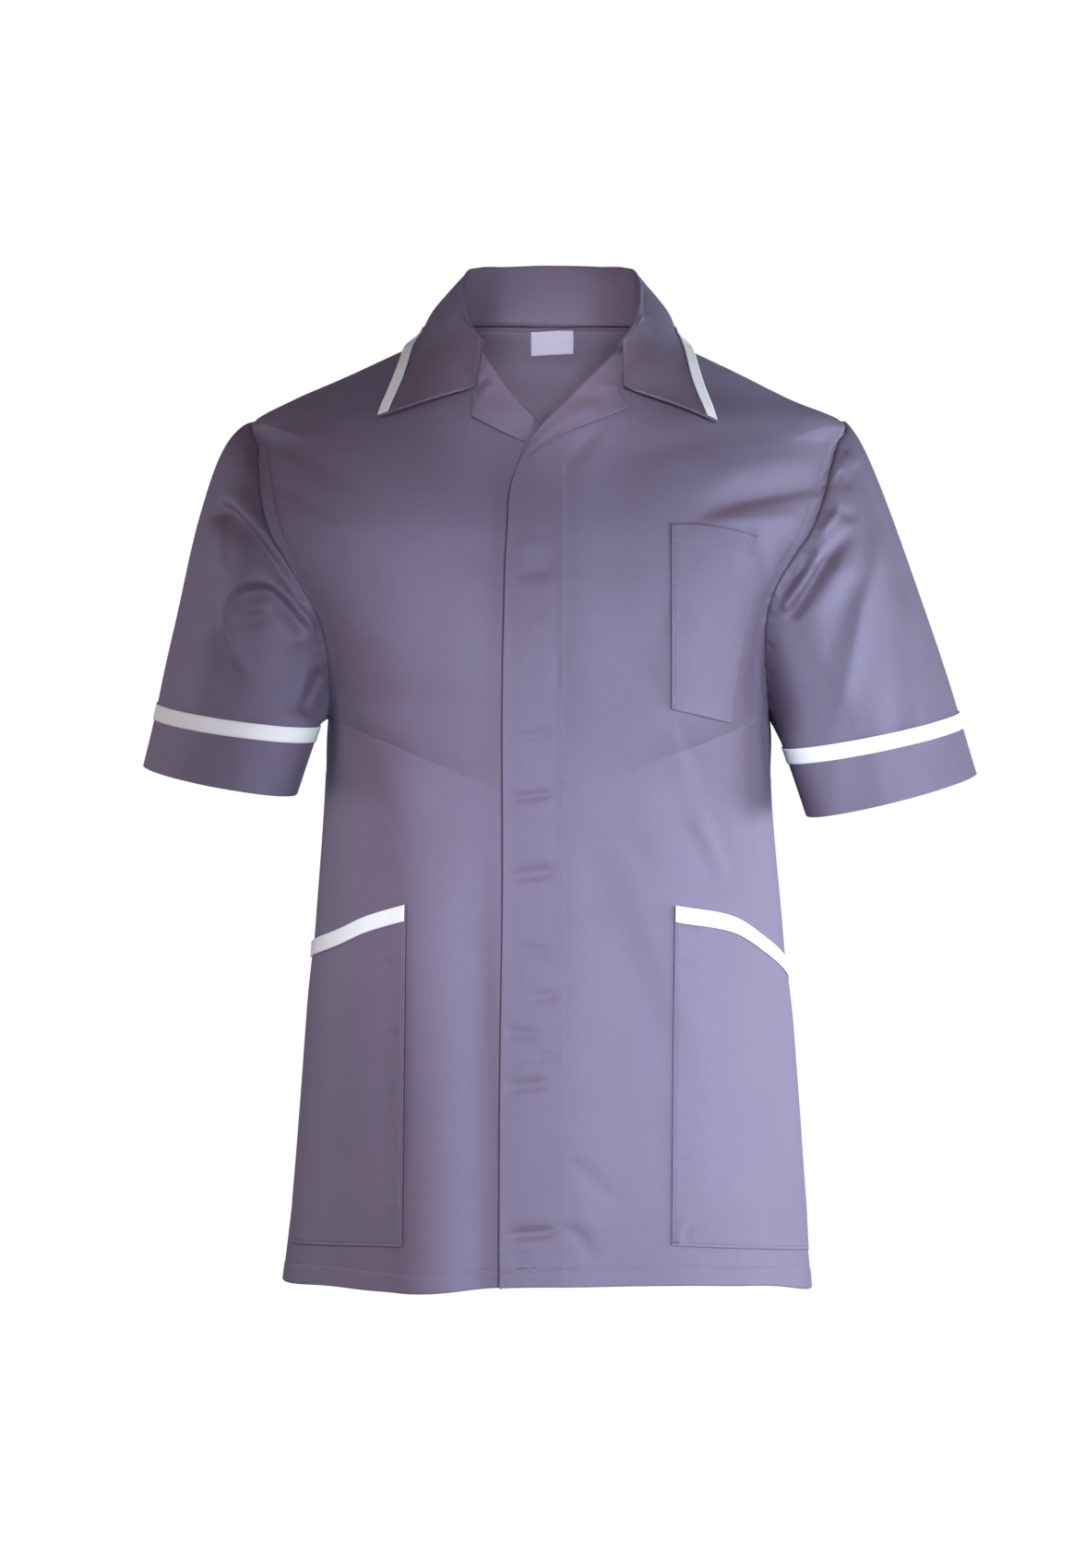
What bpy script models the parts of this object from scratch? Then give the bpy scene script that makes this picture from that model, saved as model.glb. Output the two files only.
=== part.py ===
"""A short-sleeved work tunic with an open revere collar, worn and filled out, with nobody in it.

Metres, +Z up. The front faces -Y, and the wearer's left is +X. The origin is the middle of the
neck's base, level with the high points of the shoulders.

Every panel is a sheet of points, worked out from the tables below, and Solidify gives it its wall.
A panel's points are on its outer face, and its wall grows inwards.
"""

import math
from collections import namedtuple

import bpy
import numpy as np
from mathutils.bvhtree import BVHTree

# Walls and gaps
CLOTH = 0.0011
TAPE = 0.0010
SEAM_GAP = 0.0007
LAY_GAP = 0.0005

# The number of cells of each sheet, across and along
BODY_ROWS_LOW = 8
BODY_ROWS_ARMHOLE = 10
BODY_ROWS_SHOULDER = 4
FRONT_COLUMNS = 10
BACK_HALF_COLUMNS = 8
SLEEVE_CAP_ROWS = 6
SLEEVE_END_ROWS = 2
COLLAR_COLUMNS = 14
STAND_ROWS = 2
ROLL_ROWS = 4
FALL_ROWS = 5
TAPE_ROWS = 2

# The trunk: half widths to the side seams, how far the middle of the front and back stand from the
# seams, and how square the section is (2 is an ellipse)
Section = namedtuple("Section", "height right left front back square")
TRUNK = (
    Section(-0.745, 0.2085, 0.2050, 0.150, 0.150, 2.3),
    Section(-0.673, 0.1998, 0.1983, 0.145, 0.144, 2.3),
    Section(-0.601, 0.1932, 0.1932, 0.139, 0.137, 2.3),
    Section(-0.529, 0.1874, 0.1878, 0.134, 0.130, 2.3),
    Section(-0.457, 0.1817, 0.1817, 0.130, 0.125, 2.3),
    Section(-0.349, 0.1742, 0.1730, 0.128, 0.124, 2.3),
    Section(-0.297, 0.1722, 0.1722, 0.129, 0.127, 2.3),
)

# The armholes: where the front's and the back's edges pass at each height
Armhole = namedtuple("Armhole", "height front_right front_left back front_y back_y front_depth back_depth")
ARMHOLES = (
    Armhole(-0.289, 0.1712, 0.1706, 0.1730, 0.020, 0.024, 0.129, 0.128),
    Armhole(-0.270, 0.1702, 0.1680, 0.1755, 0.035, 0.041, 0.129, 0.129),
    Armhole(-0.244, 0.1712, 0.1660, 0.1800, 0.051, 0.057, 0.128, 0.129),
    Armhole(-0.220, 0.1778, 0.1670, 0.1855, 0.061, 0.067, 0.126, 0.128),
    Armhole(-0.199, 0.1890, 0.1730, 0.1925, 0.066, 0.072, 0.124, 0.126),
    Armhole(-0.175, 0.2030, 0.1870, 0.2025, 0.065, 0.073, 0.120, 0.123),
    Armhole(-0.155, 0.2145, 0.2005, 0.2105, 0.060, 0.070, 0.117, 0.120),
    Armhole(-0.130, 0.2215, 0.2110, 0.2170, 0.049, 0.060, 0.111, 0.115),
    Armhole(-0.105, 0.2245, 0.2175, 0.2205, 0.034, 0.043, 0.104, 0.108),
    Armhole(-0.086, 0.2255, 0.2230, 0.2245, 0.019, 0.024, 0.099, 0.102),
)

# The shoulder seams, from the shoulder's outer end to the neck, and above them the neck
Shoulder = namedtuple("Shoulder", "height right left front back")
SHOULDERS = (
    Shoulder(-0.072, 0.2295, 0.2280, 0.094, 0.097),
    Shoulder(-0.050, 0.1995, 0.1895, 0.087, 0.089),
    Shoulder(-0.029, 0.1515, 0.1470, 0.079, 0.080),
    Shoulder(-0.014, 0.1195, 0.1155, 0.073, 0.072),
    Shoulder(-0.004, 0.0965, 0.0950, 0.069, 0.067),
    Shoulder(0.004, 0.0800, 0.0800, 0.066, 0.064),
    Shoulder(0.013, 0.0735, 0.0735, 0.063, 0.062),
    Shoulder(0.030, 0.0710, 0.0710, 0.060, 0.060),
)
ARMHOLE_SQUARE = 2.2
SHOULDER_SQUARE = 2.1
UNDERARM = TRUNK[-1].height
SHOULDER_POINT = SHOULDERS[0].height
NECK_POINT = (0.0795, 0.004)

# The hems, from the right side seam to the left one
HemPoint = namedtuple("HemPoint", "x height")
FRONT_HEM = (
    HemPoint(-0.2080, -0.7345),
    HemPoint(-0.1730, -0.7312),
    HemPoint(-0.1370, -0.7324),
    HemPoint(-0.0960, -0.7320),
    HemPoint(-0.0370, -0.7271),
    HemPoint(0.0310, -0.7263),
    HemPoint(0.1350, -0.7288),
    HemPoint(0.1800, -0.7333),
    HemPoint(0.2045, -0.7405),
)
BACK_HEM = (
    HemPoint(-0.2080, -0.7345),
    HemPoint(-0.1000, -0.7385),
    HemPoint(0.0150, -0.7370),
    HemPoint(0.1100, -0.7400),
    HemPoint(0.2045, -0.7405),
)

# The fronts' middle edges, from the hem up to the lapel's break, and their necklines from there
EdgePoint = namedtuple("EdgePoint", "x height")
FLY_EDGE = (
    EdgePoint(-0.0371, -0.7275),
    EdgePoint(-0.0366, -0.5850),
    EdgePoint(-0.0346, -0.4290),
    EdgePoint(-0.0341, -0.2440),
    EdgePoint(-0.0312, -0.1560),
    EdgePoint(-0.0280, -0.1195),
    EdgePoint(-0.0227, -0.1036),
    EdgePoint(-0.0155, -0.0890),
)
UNDER_EDGE = (
    EdgePoint(0.0120, -0.7275),
    EdgePoint(0.0120, -0.4290),
    EdgePoint(0.0120, -0.2000),
    EdgePoint(0.0060, -0.0890),
)
LEFT_NECKLINE = (
    EdgePoint(-0.0155, -0.0890),
    EdgePoint(-0.0042, -0.0753),
    EdgePoint(0.0245, -0.0459),
    EdgePoint(0.0541, -0.0153),
    EdgePoint(0.0700, -0.0020),
    EdgePoint(*NECK_POINT),
)
RIGHT_NECKLINE = (
    EdgePoint(0.0060, -0.0890),
    EdgePoint(-0.0093, -0.0733),
    EdgePoint(-0.0333, -0.0459),
    EdgePoint(-0.0516, -0.0167),
    EdgePoint(-0.0690, -0.0020),
    EdgePoint(-NECK_POINT[0], NECK_POINT[1]),
)
BACK_NECKLINE = (
    EdgePoint(0.0, 0.0130),
    EdgePoint(0.045, 0.0120),
    EdgePoint(0.068, 0.0090),
    EdgePoint(*NECK_POINT),
)

# The left front stands off the right one as far as the fly, and comes down past its stitching
FLY_LIFT = 0.0043
FLY_FULL = 0.014
FLY_END = 0.042

# The heights in a panel's middle of the rows that meet the armhole's two ends
FRONT_MIDDLE = {"underarm": -0.375, "shoulder": -0.190}
BACK_MIDDLE = {"underarm": -0.330, "shoulder": -0.105}

# Soft troughs (negative) and ridges (positive) of the trunk, each along a line from a to b
Fold = namedtuple("Fold", "face ax az bx bz width depth")
FOLDS = (
    Fold(-1, 0.160, -0.215, 0.170, -0.345, 0.020, -0.0050),
    Fold(-1, 0.100, -0.300, 0.155, -0.470, 0.024, -0.0035),
    Fold(-1, -0.165, -0.240, -0.135, -0.360, 0.022, -0.0040),
    Fold(-1, -0.085, -0.500, -0.098, -0.820, 0.026, 0.0050),
    Fold(-1, -0.150, -0.560, -0.165, -0.820, 0.022, -0.0030),
    Fold(-1, 0.060, -0.540, 0.066, -0.820, 0.026, 0.0030),
    Fold(1, -0.105, -0.180, -0.080, -0.620, 0.026, -0.0050),
    Fold(1, 0.110, -0.200, 0.075, -0.560, 0.024, -0.0045),
    Fold(1, 0.010, -0.420, 0.020, -0.830, 0.030, 0.0060),
    Fold(1, -0.130, -0.480, -0.140, -0.830, 0.026, 0.0050),
    Fold(1, 0.125, -0.500, 0.140, -0.830, 0.028, 0.0055),
)

# The sleeves, in the front view: the ends of the hem's chord, the way that the cloth leaves the
# armhole and meets the straight end, the hem's half depth, and how far back its outer end stands
# and how far forward its inner end. ARMHOLE_OUT is the level and upward share of the way out of
# the armhole.
Sleeve = namedtuple("Sleeve", "inner outer leave_in leave_out meet_in meet_out half_depth turn")
SLEEVES = {
    -1: Sleeve((0.1951, -0.3569), (0.3187, -0.3342), (0.003, -0.007), (0.0740, 0.0450),
               (0.003, -0.009), (0.0680, -0.3100), 0.050, 0.034),
    1: Sleeve((0.1987, -0.3737), (0.3362, -0.3404), (0.008, -0.022), (0.0340, 0.0550),
              (0.008, -0.024), (0.0434, -0.1358), 0.047, 0.030),
}
ARMHOLE_OUT = (0.97, -0.24)
SLEEVE_END = 0.056
HEM_CENTRE_Y = -0.005
HEM_FRONT_DROP = 0.125
SLEEVE_BULGE = 0.030
BAND_RISE_IN = 0.0435
BAND_RISE_OUT = 0.0380
BAND_WIDTH = 0.0125

# Half the collar: the neck seam, the inner top of the roll, and the outer edge. Its front end is
# shaped from TIP_SHARE of the way to the tip.
CollarSection = namedtuple("CollarSection", "share nx ny nz rx ry rz ex ey ez")
COLLAR = (
    CollarSection(0.00, 0.000, 0.0625, 0.0135, 0.000, 0.0650, 0.0606, 0.000, 0.0790, -0.0060),
    CollarSection(0.20, 0.036, 0.0555, 0.0135, 0.036, 0.0600, 0.0592, 0.050, 0.0735, -0.0070),
    CollarSection(0.40, 0.064, 0.0320, 0.0110, 0.0600, 0.0370, 0.0535, 0.085, 0.0500, -0.0050),
    CollarSection(0.55, 0.0770, 0.0050, 0.0050, 0.0655, 0.0090, 0.0330, 0.0980, 0.0190, 0.0010),
    CollarSection(0.70, 0.0745, -0.0260, 0.0010, 0.0625, -0.0200, 0.0120, 0.1060, -0.0120, -0.0085),
    CollarSection(0.85, 0.0640, -0.0510, -0.0070, 0.0560, -0.0450, -0.0020, 0.1160, -0.0570, -0.0330),
    CollarSection(1.00, 0.0535, -0.0640, -0.0150, 0.0510, -0.0625, -0.0120, 0.1308, -0.0825, -0.0680),
)
COLLAR_SHIFT = 0.0015
TIP_SHARE = 0.70
TIP_IN = {-1: 0.0, 1: 0.0035}
TIP_DROP = {-1: 0.0, 1: -0.0045}
GORGE_END = (0.0558, -0.0475)
GORGE_SHARE = 0.30
ROLL_WIDTH = 0.0050
ROLL_RISE = 0.0025
FALL_BULGE = 0.0022
FALL_BULGE_UP = 0.6
COLLAR_LIFT = 0.0036
COLLAR_TAPE_WIDTH = 0.0085
CLEARING_STEPS = 5
CLEARING_STEP = 0.0001
CLEARING_MOST = 0.006

# The lapels: rows from the collar down to the break, each from the roll line to the outer edge
LapelRow = namedtuple("LapelRow", "roll_x roll_z outer_x outer_z")
LAPELS = {
    -1: (
        LapelRow(-0.0520, -0.0185, -0.0560, -0.0490),
        LapelRow(-0.0436, -0.0308, -0.0593, -0.0671),
        LapelRow(-0.0330, -0.0464, -0.0438, -0.0758),
        LapelRow(-0.0206, -0.0612, -0.0276, -0.0838),
        LapelRow(-0.0110, -0.0716, -0.0160, -0.0895),
    ),
    1: (
        LapelRow(0.0530, -0.0175, 0.0538, -0.0490),
        LapelRow(0.0440, -0.0265, 0.0603, -0.0600),
        LapelRow(0.0245, -0.0463, 0.0412, -0.0695),
        LapelRow(0.0096, -0.0616, 0.0200, -0.0775),
        LapelRow(-0.0042, -0.0757, 0.0040, -0.0845),
        LapelRow(-0.0150, -0.0890, -0.0125, -0.0962),
        LapelRow(-0.0205, -0.0985, -0.0205, -0.1028),
    ),
}
LAPEL_COLUMNS = 6
LAPEL_LIFT = 0.0022

# The pockets. A hip pocket runs from its front edge to the side seam, with a sloping mouth
HipPocket = namedtuple("HipPocket", "front_top front_bottom top bottom side_bottom turn_bottom mouth")
HIP_POCKETS = {
    -1: HipPocket(0.1084, 0.1106, -0.4410, -0.6988, -0.7040, 0.88, ((0.0, 0.0), (0.27, 0.0088), (0.51, 0.0188), (1.0, 0.0305))),
    1: HipPocket(0.0948, 0.0919, -0.4414, -0.6975, -0.7110, 0.93, ((0.0, 0.0), (0.4, 0.0110), (0.6, 0.0240), (1.0, 0.0465))),
}
HIP_COLUMNS = 10
HIP_ROWS = 8
TAPE_WIDTH = 0.0125
SIDE_TURN = 0.93
CHEST_POCKET = {
    "top_front": (0.0924, -0.1512),
    "top_side": (0.1590, -0.1594),
    "bottom_front": (0.0923, -0.2925),
    "bottom_side": (0.1371, -0.3026),
}
CHEST_MOUTH_RISE = 0.003
CHEST_COLUMNS = 8
CHEST_ROWS = 14
POCKET_EASE = 0.0005

# The label inside the back's neck, and the buttons that the fly hides
LABEL_X = (-0.0143, 0.0196)
LABEL_Z = (0.0095, -0.0085)
LABEL_THICKNESS = 0.0010
BUTTON_X = -0.013
BUTTON_RADIUS = 0.0075
BUTTON_THICKNESS = 0.0015
BUTTON_TOP = -0.165
BUTTON_STEP = 0.105
BUTTON_COUNT = 5


def column(table, name):
    """One named column of a table, as an array."""
    return np.array([getattr(row, name) for row in table], float)


def smooth(knots, values, at):
    """A smooth curve through (knots, values), read at the places at: cubic pieces between the knots,
    each knot's slope that of its neighbours."""
    knots = np.asarray(knots, float)
    values = np.asarray(values, float)
    at = np.clip(at, knots[0], knots[-1])
    slopes = np.gradient(values, knots)
    i = np.clip(np.searchsorted(knots, at) - 1, 0, len(knots) - 2)
    gap = knots[i + 1] - knots[i]
    t = (at - knots[i]) / gap
    start = (1 + 2 * t) * (1 - t) ** 2 * values[i] + t * (1 - t) ** 2 * gap * slopes[i]
    end = t * t * (3 - 2 * t) * values[i + 1] + t * t * (t - 1) * gap * slopes[i + 1]
    return start + end


def ease(t):
    """0 below 0, 1 above 1, and a soft step between."""
    t = np.clip(t, 0, 1)
    return t * t * (3 - 2 * t)


def section_rows(face):
    """(height, right edge, left edge, edge depth, middle depth, squareness) of the trunk's sections,
    from the hem to the neck. face is -1 for the front and 1 for the back."""
    rows = [(s.height, s.right, s.left, 0.0, s.front if face < 0 else s.back, s.square) for s in TRUNK]
    for a in ARMHOLES:
        edges = (a.front_right, a.front_left, a.front_y, a.front_depth)
        if face > 0:
            edges = (a.back, a.back, a.back_y, a.back_depth)
        rows.append((a.height, *edges, ARMHOLE_SQUARE))
    for s in SHOULDERS:
        rows.append((s.height, s.right, s.left, 0.0, s.front if face < 0 else s.back, SHOULDER_SQUARE))
    return np.array(rows)


SECTIONS = {face: section_rows(face) for face in (-1, 1)}


def depth_at(face, z):
    """How far the middle of the front or back stands from the seams at height z."""
    rows = SECTIONS[face]
    return smooth(rows[:, 0], rows[:, 4], z)


def square_at(face, z):
    """How square the section is at height z."""
    rows = SECTIONS[face]
    return smooth(rows[:, 0], rows[:, 5], z)


def edge_x(face, side, z):
    """The half width to the side seam, the armhole's edge or the shoulder seam at height z."""
    rows = SECTIONS[face]
    return smooth(rows[:, 0], rows[:, 1 if side < 0 else 2], z)


def reach(face, side, z):
    """The half width that the section would have at y = 0, so that it passes through the edge."""
    rows = SECTIONS[face]
    edge = rows[:, 1 if side < 0 else 2]
    full = edge / (1 - (rows[:, 3] / rows[:, 4]) ** 2) ** (1 / rows[:, 5])
    return smooth(rows[:, 0], full, z)


def fold_lift(face, x, z):
    """How far the trunk's folds stand out at (x, z): each is a ridge or trough with a bell-shaped
    section across its line, and it fades towards both ends."""
    lift = np.zeros(np.broadcast(x, z).shape)
    for fold in FOLDS:
        if fold.face != face:
            continue
        run = np.array([fold.bx - fold.ax, fold.bz - fold.az])
        length = np.hypot(*run)
        along = ((x - fold.ax) * run[0] + (z - fold.az) * run[1]) / length
        across = ((x - fold.ax) * run[1] - (z - fold.az) * run[0]) / length
        fade = np.clip(1 - (2 * along / length - 1) ** 2, 0, 1)
        lift = lift + fold.depth * fade * np.exp(-((across / fold.width) ** 2))
    return lift


def trunk(face, x, z):
    """The trunk's outer face at (x, z) in the front view: the section at height z is
    |x / reach| ^ square + |y / depth| ^ 2 = 1, and the folds stand out from it."""
    x, z = np.broadcast_arrays(np.asarray(x, float), np.asarray(z, float))
    half = np.where(x < 0, reach(face, -1, z), reach(face, 1, z))
    share = np.clip(1 - np.abs(x / half) ** square_at(face, z), 0, 1)
    y = depth_at(face, z) * np.sqrt(share) + fold_lift(face, x, z) * np.sqrt(share)
    return np.stack([x, face * (y + SEAM_GAP / 2), z], -1)


def normals(points, closed=False):
    """The unit normals of a grid of points, from the differences between neighbours."""
    if closed:
        across = np.roll(points, -1, 0) - np.roll(points, 1, 0)
    else:
        across = np.gradient(points, axis=0)
    along = np.gradient(points, axis=1)
    out = np.cross(across, along)
    return out / np.linalg.norm(out, axis=-1, keepdims=True)


def lifted(points, lift, closed=False):
    """The points moved out along their normals."""
    return points + normals(points, closed) * lift


def row_heights(middle, top_middle, top_outer, hem_middle, hem_outer):
    """The heights of a panel's rows in the middle and at the outer edge. The rows come in three
    lots: up to the underarm, up the armhole, and along the shoulder seam."""
    lots = (BODY_ROWS_LOW, BODY_ROWS_ARMHOLE, BODY_ROWS_SHOULDER)
    shares = [np.arange(1, n + 1) / n for n in lots]
    round_share = (1 - np.cos(math.pi * shares[1])) / 2
    middle_stops = (hem_middle, middle["underarm"], middle["shoulder"], top_middle)
    outer_stops = (hem_outer, UNDERARM, SHOULDER_POINT, top_outer)
    heights = []
    for stops, second in ((middle_stops, shares[1]), (outer_stops, round_share)):
        steps = (shares[0], second, shares[2])
        lots_of_rows = [stops[i] + (stops[i + 1] - stops[i]) * steps[i] for i in range(3)]
        heights.append(np.concatenate([[stops[0]], *lots_of_rows]))
    return heights


def panel(face, side, middle_edge, neckline, middle, hem, columns):
    """Half a trunk panel, a grid of points by column and row. Each row is a straight line in the
    front view from the middle edge to the outer one, with its points closer where the trunk turns
    away, and the top rows bend to the neckline."""
    top = neckline[0]
    ends = hem[0 if side < 0 else -1]
    inner_z, outer_z = row_heights(middle, top.height, NECK_POINT[1], middle_edge[0].height, ends.height)
    inner_x = smooth(column(middle_edge, "height"), column(middle_edge, "x"), inner_z)
    outer_x = side * edge_x(face, side, outer_z)
    outer_x[-1] = side * NECK_POINT[0]
    turn = np.arcsin(np.clip(np.abs(outer_x) / reach(face, side, outer_z), 0, 1))
    u = np.linspace(0, 1, columns + 1)[:, None]
    share = np.sin(u * turn) / np.sin(turn)
    x = inner_x + (outer_x - inner_x) * share
    z = inner_z + (outer_z - inner_z) * share
    # The neckline's bend from a straight row fades out over the rows of the shoulder.
    run = side * column(neckline, "x")
    line_x = side * x[:, -1]
    bend = smooth(run, column(neckline, "height"), line_x) - z[:, -1]
    rows = len(inner_z) - 1
    fade = ease((np.arange(rows + 1) - (rows - 2 * BODY_ROWS_SHOULDER)) / (2 * BODY_ROWS_SHOULDER))
    z = z + bend[:, None] * fade
    # The hem's curve fades out over the rows below the underarm.
    dip = smooth(column(hem, "x"), column(hem, "height"), x[:, :1]) - z[:, :1]
    z = z + dip * (1 - ease(np.arange(rows + 1) / BODY_ROWS_LOW))
    return trunk(face, x, z)


def fly_lift(points):
    """The left front's points, standing off the right front where it laps over it."""
    lift = FLY_LIFT * (1 - ease((points[..., 0] - FLY_FULL) / (FLY_END - FLY_FULL)))
    return points - np.stack([0 * lift, lift, 0 * lift], -1)


def front_points(side):
    """A front panel. The left one laps over the right one as far as the fly's edge."""
    edge, neckline = (UNDER_EDGE, RIGHT_NECKLINE) if side < 0 else (FLY_EDGE, LEFT_NECKLINE)
    points = panel(-1, side, edge, neckline, FRONT_MIDDLE, FRONT_HEM, FRONT_COLUMNS)
    return points if side < 0 else fly_lift(points)


def back_points():
    """The back panel: two halves that share the middle column."""
    halves = []
    for side in (-1, 1):
        edge = (EdgePoint(0.0, BACK_HEM[2].height), BACK_NECKLINE[0])
        neckline = [EdgePoint(side * point.x, point.height) for point in BACK_NECKLINE]
        halves.append(panel(1, side, edge, neckline, BACK_MIDDLE, BACK_HEM, BACK_HALF_COLUMNS))
    return np.concatenate([halves[0][::-1], halves[1][1:]])


def armhole_loop(side):
    """The armhole's points, from the underarm up the front to the shoulder and down the back, moved
    out of the armhole by the seam's gap."""
    share = np.arange(BODY_ROWS_ARMHOLE + 1) / BODY_ROWS_ARMHOLE
    z = UNDERARM + (SHOULDER_POINT - UNDERARM) * (1 - np.cos(math.pi * share)) / 2
    front = trunk(-1, side * edge_x(-1, side, z), z)
    back = trunk(1, side * edge_x(1, side, z), z)
    loop = np.concatenate([front, back[-2:0:-1]])
    loop[[0, BODY_ROWS_ARMHOLE], 1] = 0.0
    return loop + SEAM_GAP * np.array([side * ARMHOLE_OUT[0], 0.0, ARMHOLE_OUT[1]])


def sleeve_rings(side, closed_share):
    """(armhole loop, ring where the straight end starts, hem ring, leaving and meeting directions)
    at the shares of the way round from the underarm by the front. The hem is an ellipse on its
    chord, lower in front."""
    cut = SLEEVES[side]
    turn = 2 * math.pi * closed_share[:, None]
    out = (1 - np.cos(turn)) / 2
    flip = np.array([side, 1, 1])
    inner = np.array([cut.inner[0], HEM_CENTRE_Y - cut.turn, cut.inner[1]])
    outer = np.array([cut.outer[0], HEM_CENTRE_Y + cut.turn, cut.outer[1]])
    forward = np.array([0.0, -1.0, -HEM_FRONT_DROP])
    hem = inner + (outer - inner) * out + forward * cut.half_depth * np.sin(turn)
    in_way = np.array([cut.meet_in[0], 0.0, cut.meet_in[1]])
    out_way = np.array([cut.meet_out[0], 0.0, cut.meet_out[1]])
    way = in_way / np.linalg.norm(in_way) * (1 - out) + out_way / np.linalg.norm(out_way) * out
    way /= np.linalg.norm(way, axis=1, keepdims=True)
    leave_in = np.array([cut.leave_in[0], 0.0, cut.leave_in[1]])
    leave_out = np.array([cut.leave_out[0], 0.0, cut.leave_out[1]])
    bulge = np.array([0.0, -SLEEVE_BULGE, 0.0]) * np.sin(turn)
    leave = leave_in * (1 - out) + leave_out * out + bulge
    meet = in_way * (1 - out) + out_way * out
    return hem * flip, way * flip, leave * flip, meet * flip


def sleeve_points(side):
    """A sleeve: cubic curves from the armhole to the start of its straight end, then straight
    lines to the hem. The grid runs round from the underarm by the front, and down."""
    loop = armhole_loop(side)
    around = np.arange(len(loop)) / len(loop)
    hem, way, leave, meet = sleeve_rings(side, around)
    start = hem - way * SLEEVE_END
    t = np.linspace(0, 1, SLEEVE_CAP_ROWS + 1)[None, :, None]
    loop, start, leave, meet = (a[:, None] for a in (loop, start, leave, meet))
    cap = (1 + 2 * t) * (1 - t) ** 2 * loop + t * (1 - t) ** 2 * leave
    cap = cap + t * t * (3 - 2 * t) * start + t * t * (t - 1) * meet
    s = np.linspace(0, 1, SLEEVE_END_ROWS + 1)[None, 1:, None]
    end = start + way[:, None] * SLEEVE_END * s
    return np.concatenate([cap, end], 1)


def band_points(side):
    """The tape round a sleeve, laid on its straight end."""
    around = np.arange(2 * BODY_ROWS_ARMHOLE) / (2 * BODY_ROWS_ARMHOLE)
    hem, way, _, _ = sleeve_rings(side, around)
    out = (1 - np.cos(2 * math.pi * around)) / 2
    low = (BAND_RISE_IN + (BAND_RISE_OUT - BAND_RISE_IN) * out)[:, None, None]
    rise = low + np.array([BAND_WIDTH, 0.0])[None, :, None]
    points = hem[:, None] - way[:, None] * rise
    return lifted(points, -side * (LAY_GAP + TAPE), closed=True)


def collar_row(side, share):
    """(neck seam, inner top of the roll, outer edge) at the shares of the way from the back's
    middle to the front end of one half."""
    shares = column(COLLAR, "share")
    ends = []
    for name in "nre":
        ends.append(np.stack([smooth(shares, column(COLLAR, name + axis), share) for axis in "xyz"], -1))
    neck, roll, edge = ends
    near_tip = ease((share - TIP_SHARE) / (1 - TIP_SHARE))
    edge[:, 0] -= TIP_IN[side] * near_tip
    edge[:, 2] += TIP_DROP[side] * near_tip
    flip = np.array([side, 1, 1])
    shift = np.array([COLLAR_SHIFT, 0, 0])
    return neck * flip, roll * flip + shift, edge * flip


def outward(row):
    """The level direction out of the neck at each point of a row."""
    away = row * np.array([1.0, 1.0, 0.0])
    return away / np.linalg.norm(away, axis=-1, keepdims=True)


def trunk_level(points):
    """Below 0 inside the trunk's sections, 0 on them, and above 0 outside."""
    x, y, z = points[..., 0], points[..., 1], points[..., 2]
    total = np.zeros(x.shape)
    for face in (-1, 1):
        half = np.where(x < 0, reach(face, -1, z), reach(face, 1, z))
        level = np.abs(x / half) ** square_at(face, z) + (y / depth_at(face, z)) ** 2 - 1
        total = np.where(y * face >= 0, level, total)
    return total


def clear_of_trunk(points, lift):
    """The points moved straight out of the trunk, where they need it, until they lie lift off it."""
    for _ in range(CLEARING_STEPS):
        level = trunk_level(points)
        steps = [trunk_level(points + CLEARING_STEP * axis) - level for axis in np.eye(3)]
        slope = np.stack(steps, -1) / CLEARING_STEP
        size = np.linalg.norm(slope, axis=-1)
        short = np.clip(lift - level / size, 0, CLEARING_MOST)
        points = points + slope * (short / size)[..., None]
    return points


def fall_points(side, share, f):
    """The collar's fall, from the roll (f = 0) to the outer edge (f = 1). Its front end runs down
    the gorge to its lower end, then along the collar's bottom edge to the tip."""
    neck, roll, edge = collar_row(side, share)
    start = roll + outward(roll) * ROLL_WIDTH
    f = f[None, :, None] if f.ndim == 1 else f[:, :, None]
    straight = start[:, None] * (1 - f) + edge[:, None] * f
    bulge = outward(roll)[:, None] + np.array([0.0, 0.0, FALL_BULGE_UP])
    straight = straight + bulge * FALL_BULGE * 4 * f * (1 - f)
    # The front end bends from the straight line to the gorge's lower end.
    corner = np.array([side * GORGE_END[0], 0.0, GORGE_END[1]])
    kink = np.where(f < GORGE_SHARE, f / GORGE_SHARE, (1 - f) / (1 - GORGE_SHARE))
    line = start[:, None] * (1 - GORGE_SHARE) + edge[:, None] * GORGE_SHARE
    bend = (corner - line) * np.array([1.0, 0.0, 1.0])
    pull = ease((share - TIP_SHARE) / (1 - TIP_SHARE))[:, None, None]
    points = straight + bend * kink * pull
    return clear_of_trunk(points, COLLAR_LIFT)


def tape_start(side, share):
    """The share of the fall, from the roll, at which the edge's tape starts on each column."""
    whole = fall_points(side, share, np.linspace(0, 1, FALL_ROWS + 1))
    length = np.linalg.norm(np.diff(whole, axis=1), axis=-1).sum(1)
    return 1 - COLLAR_TAPE_WIDTH / length


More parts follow.
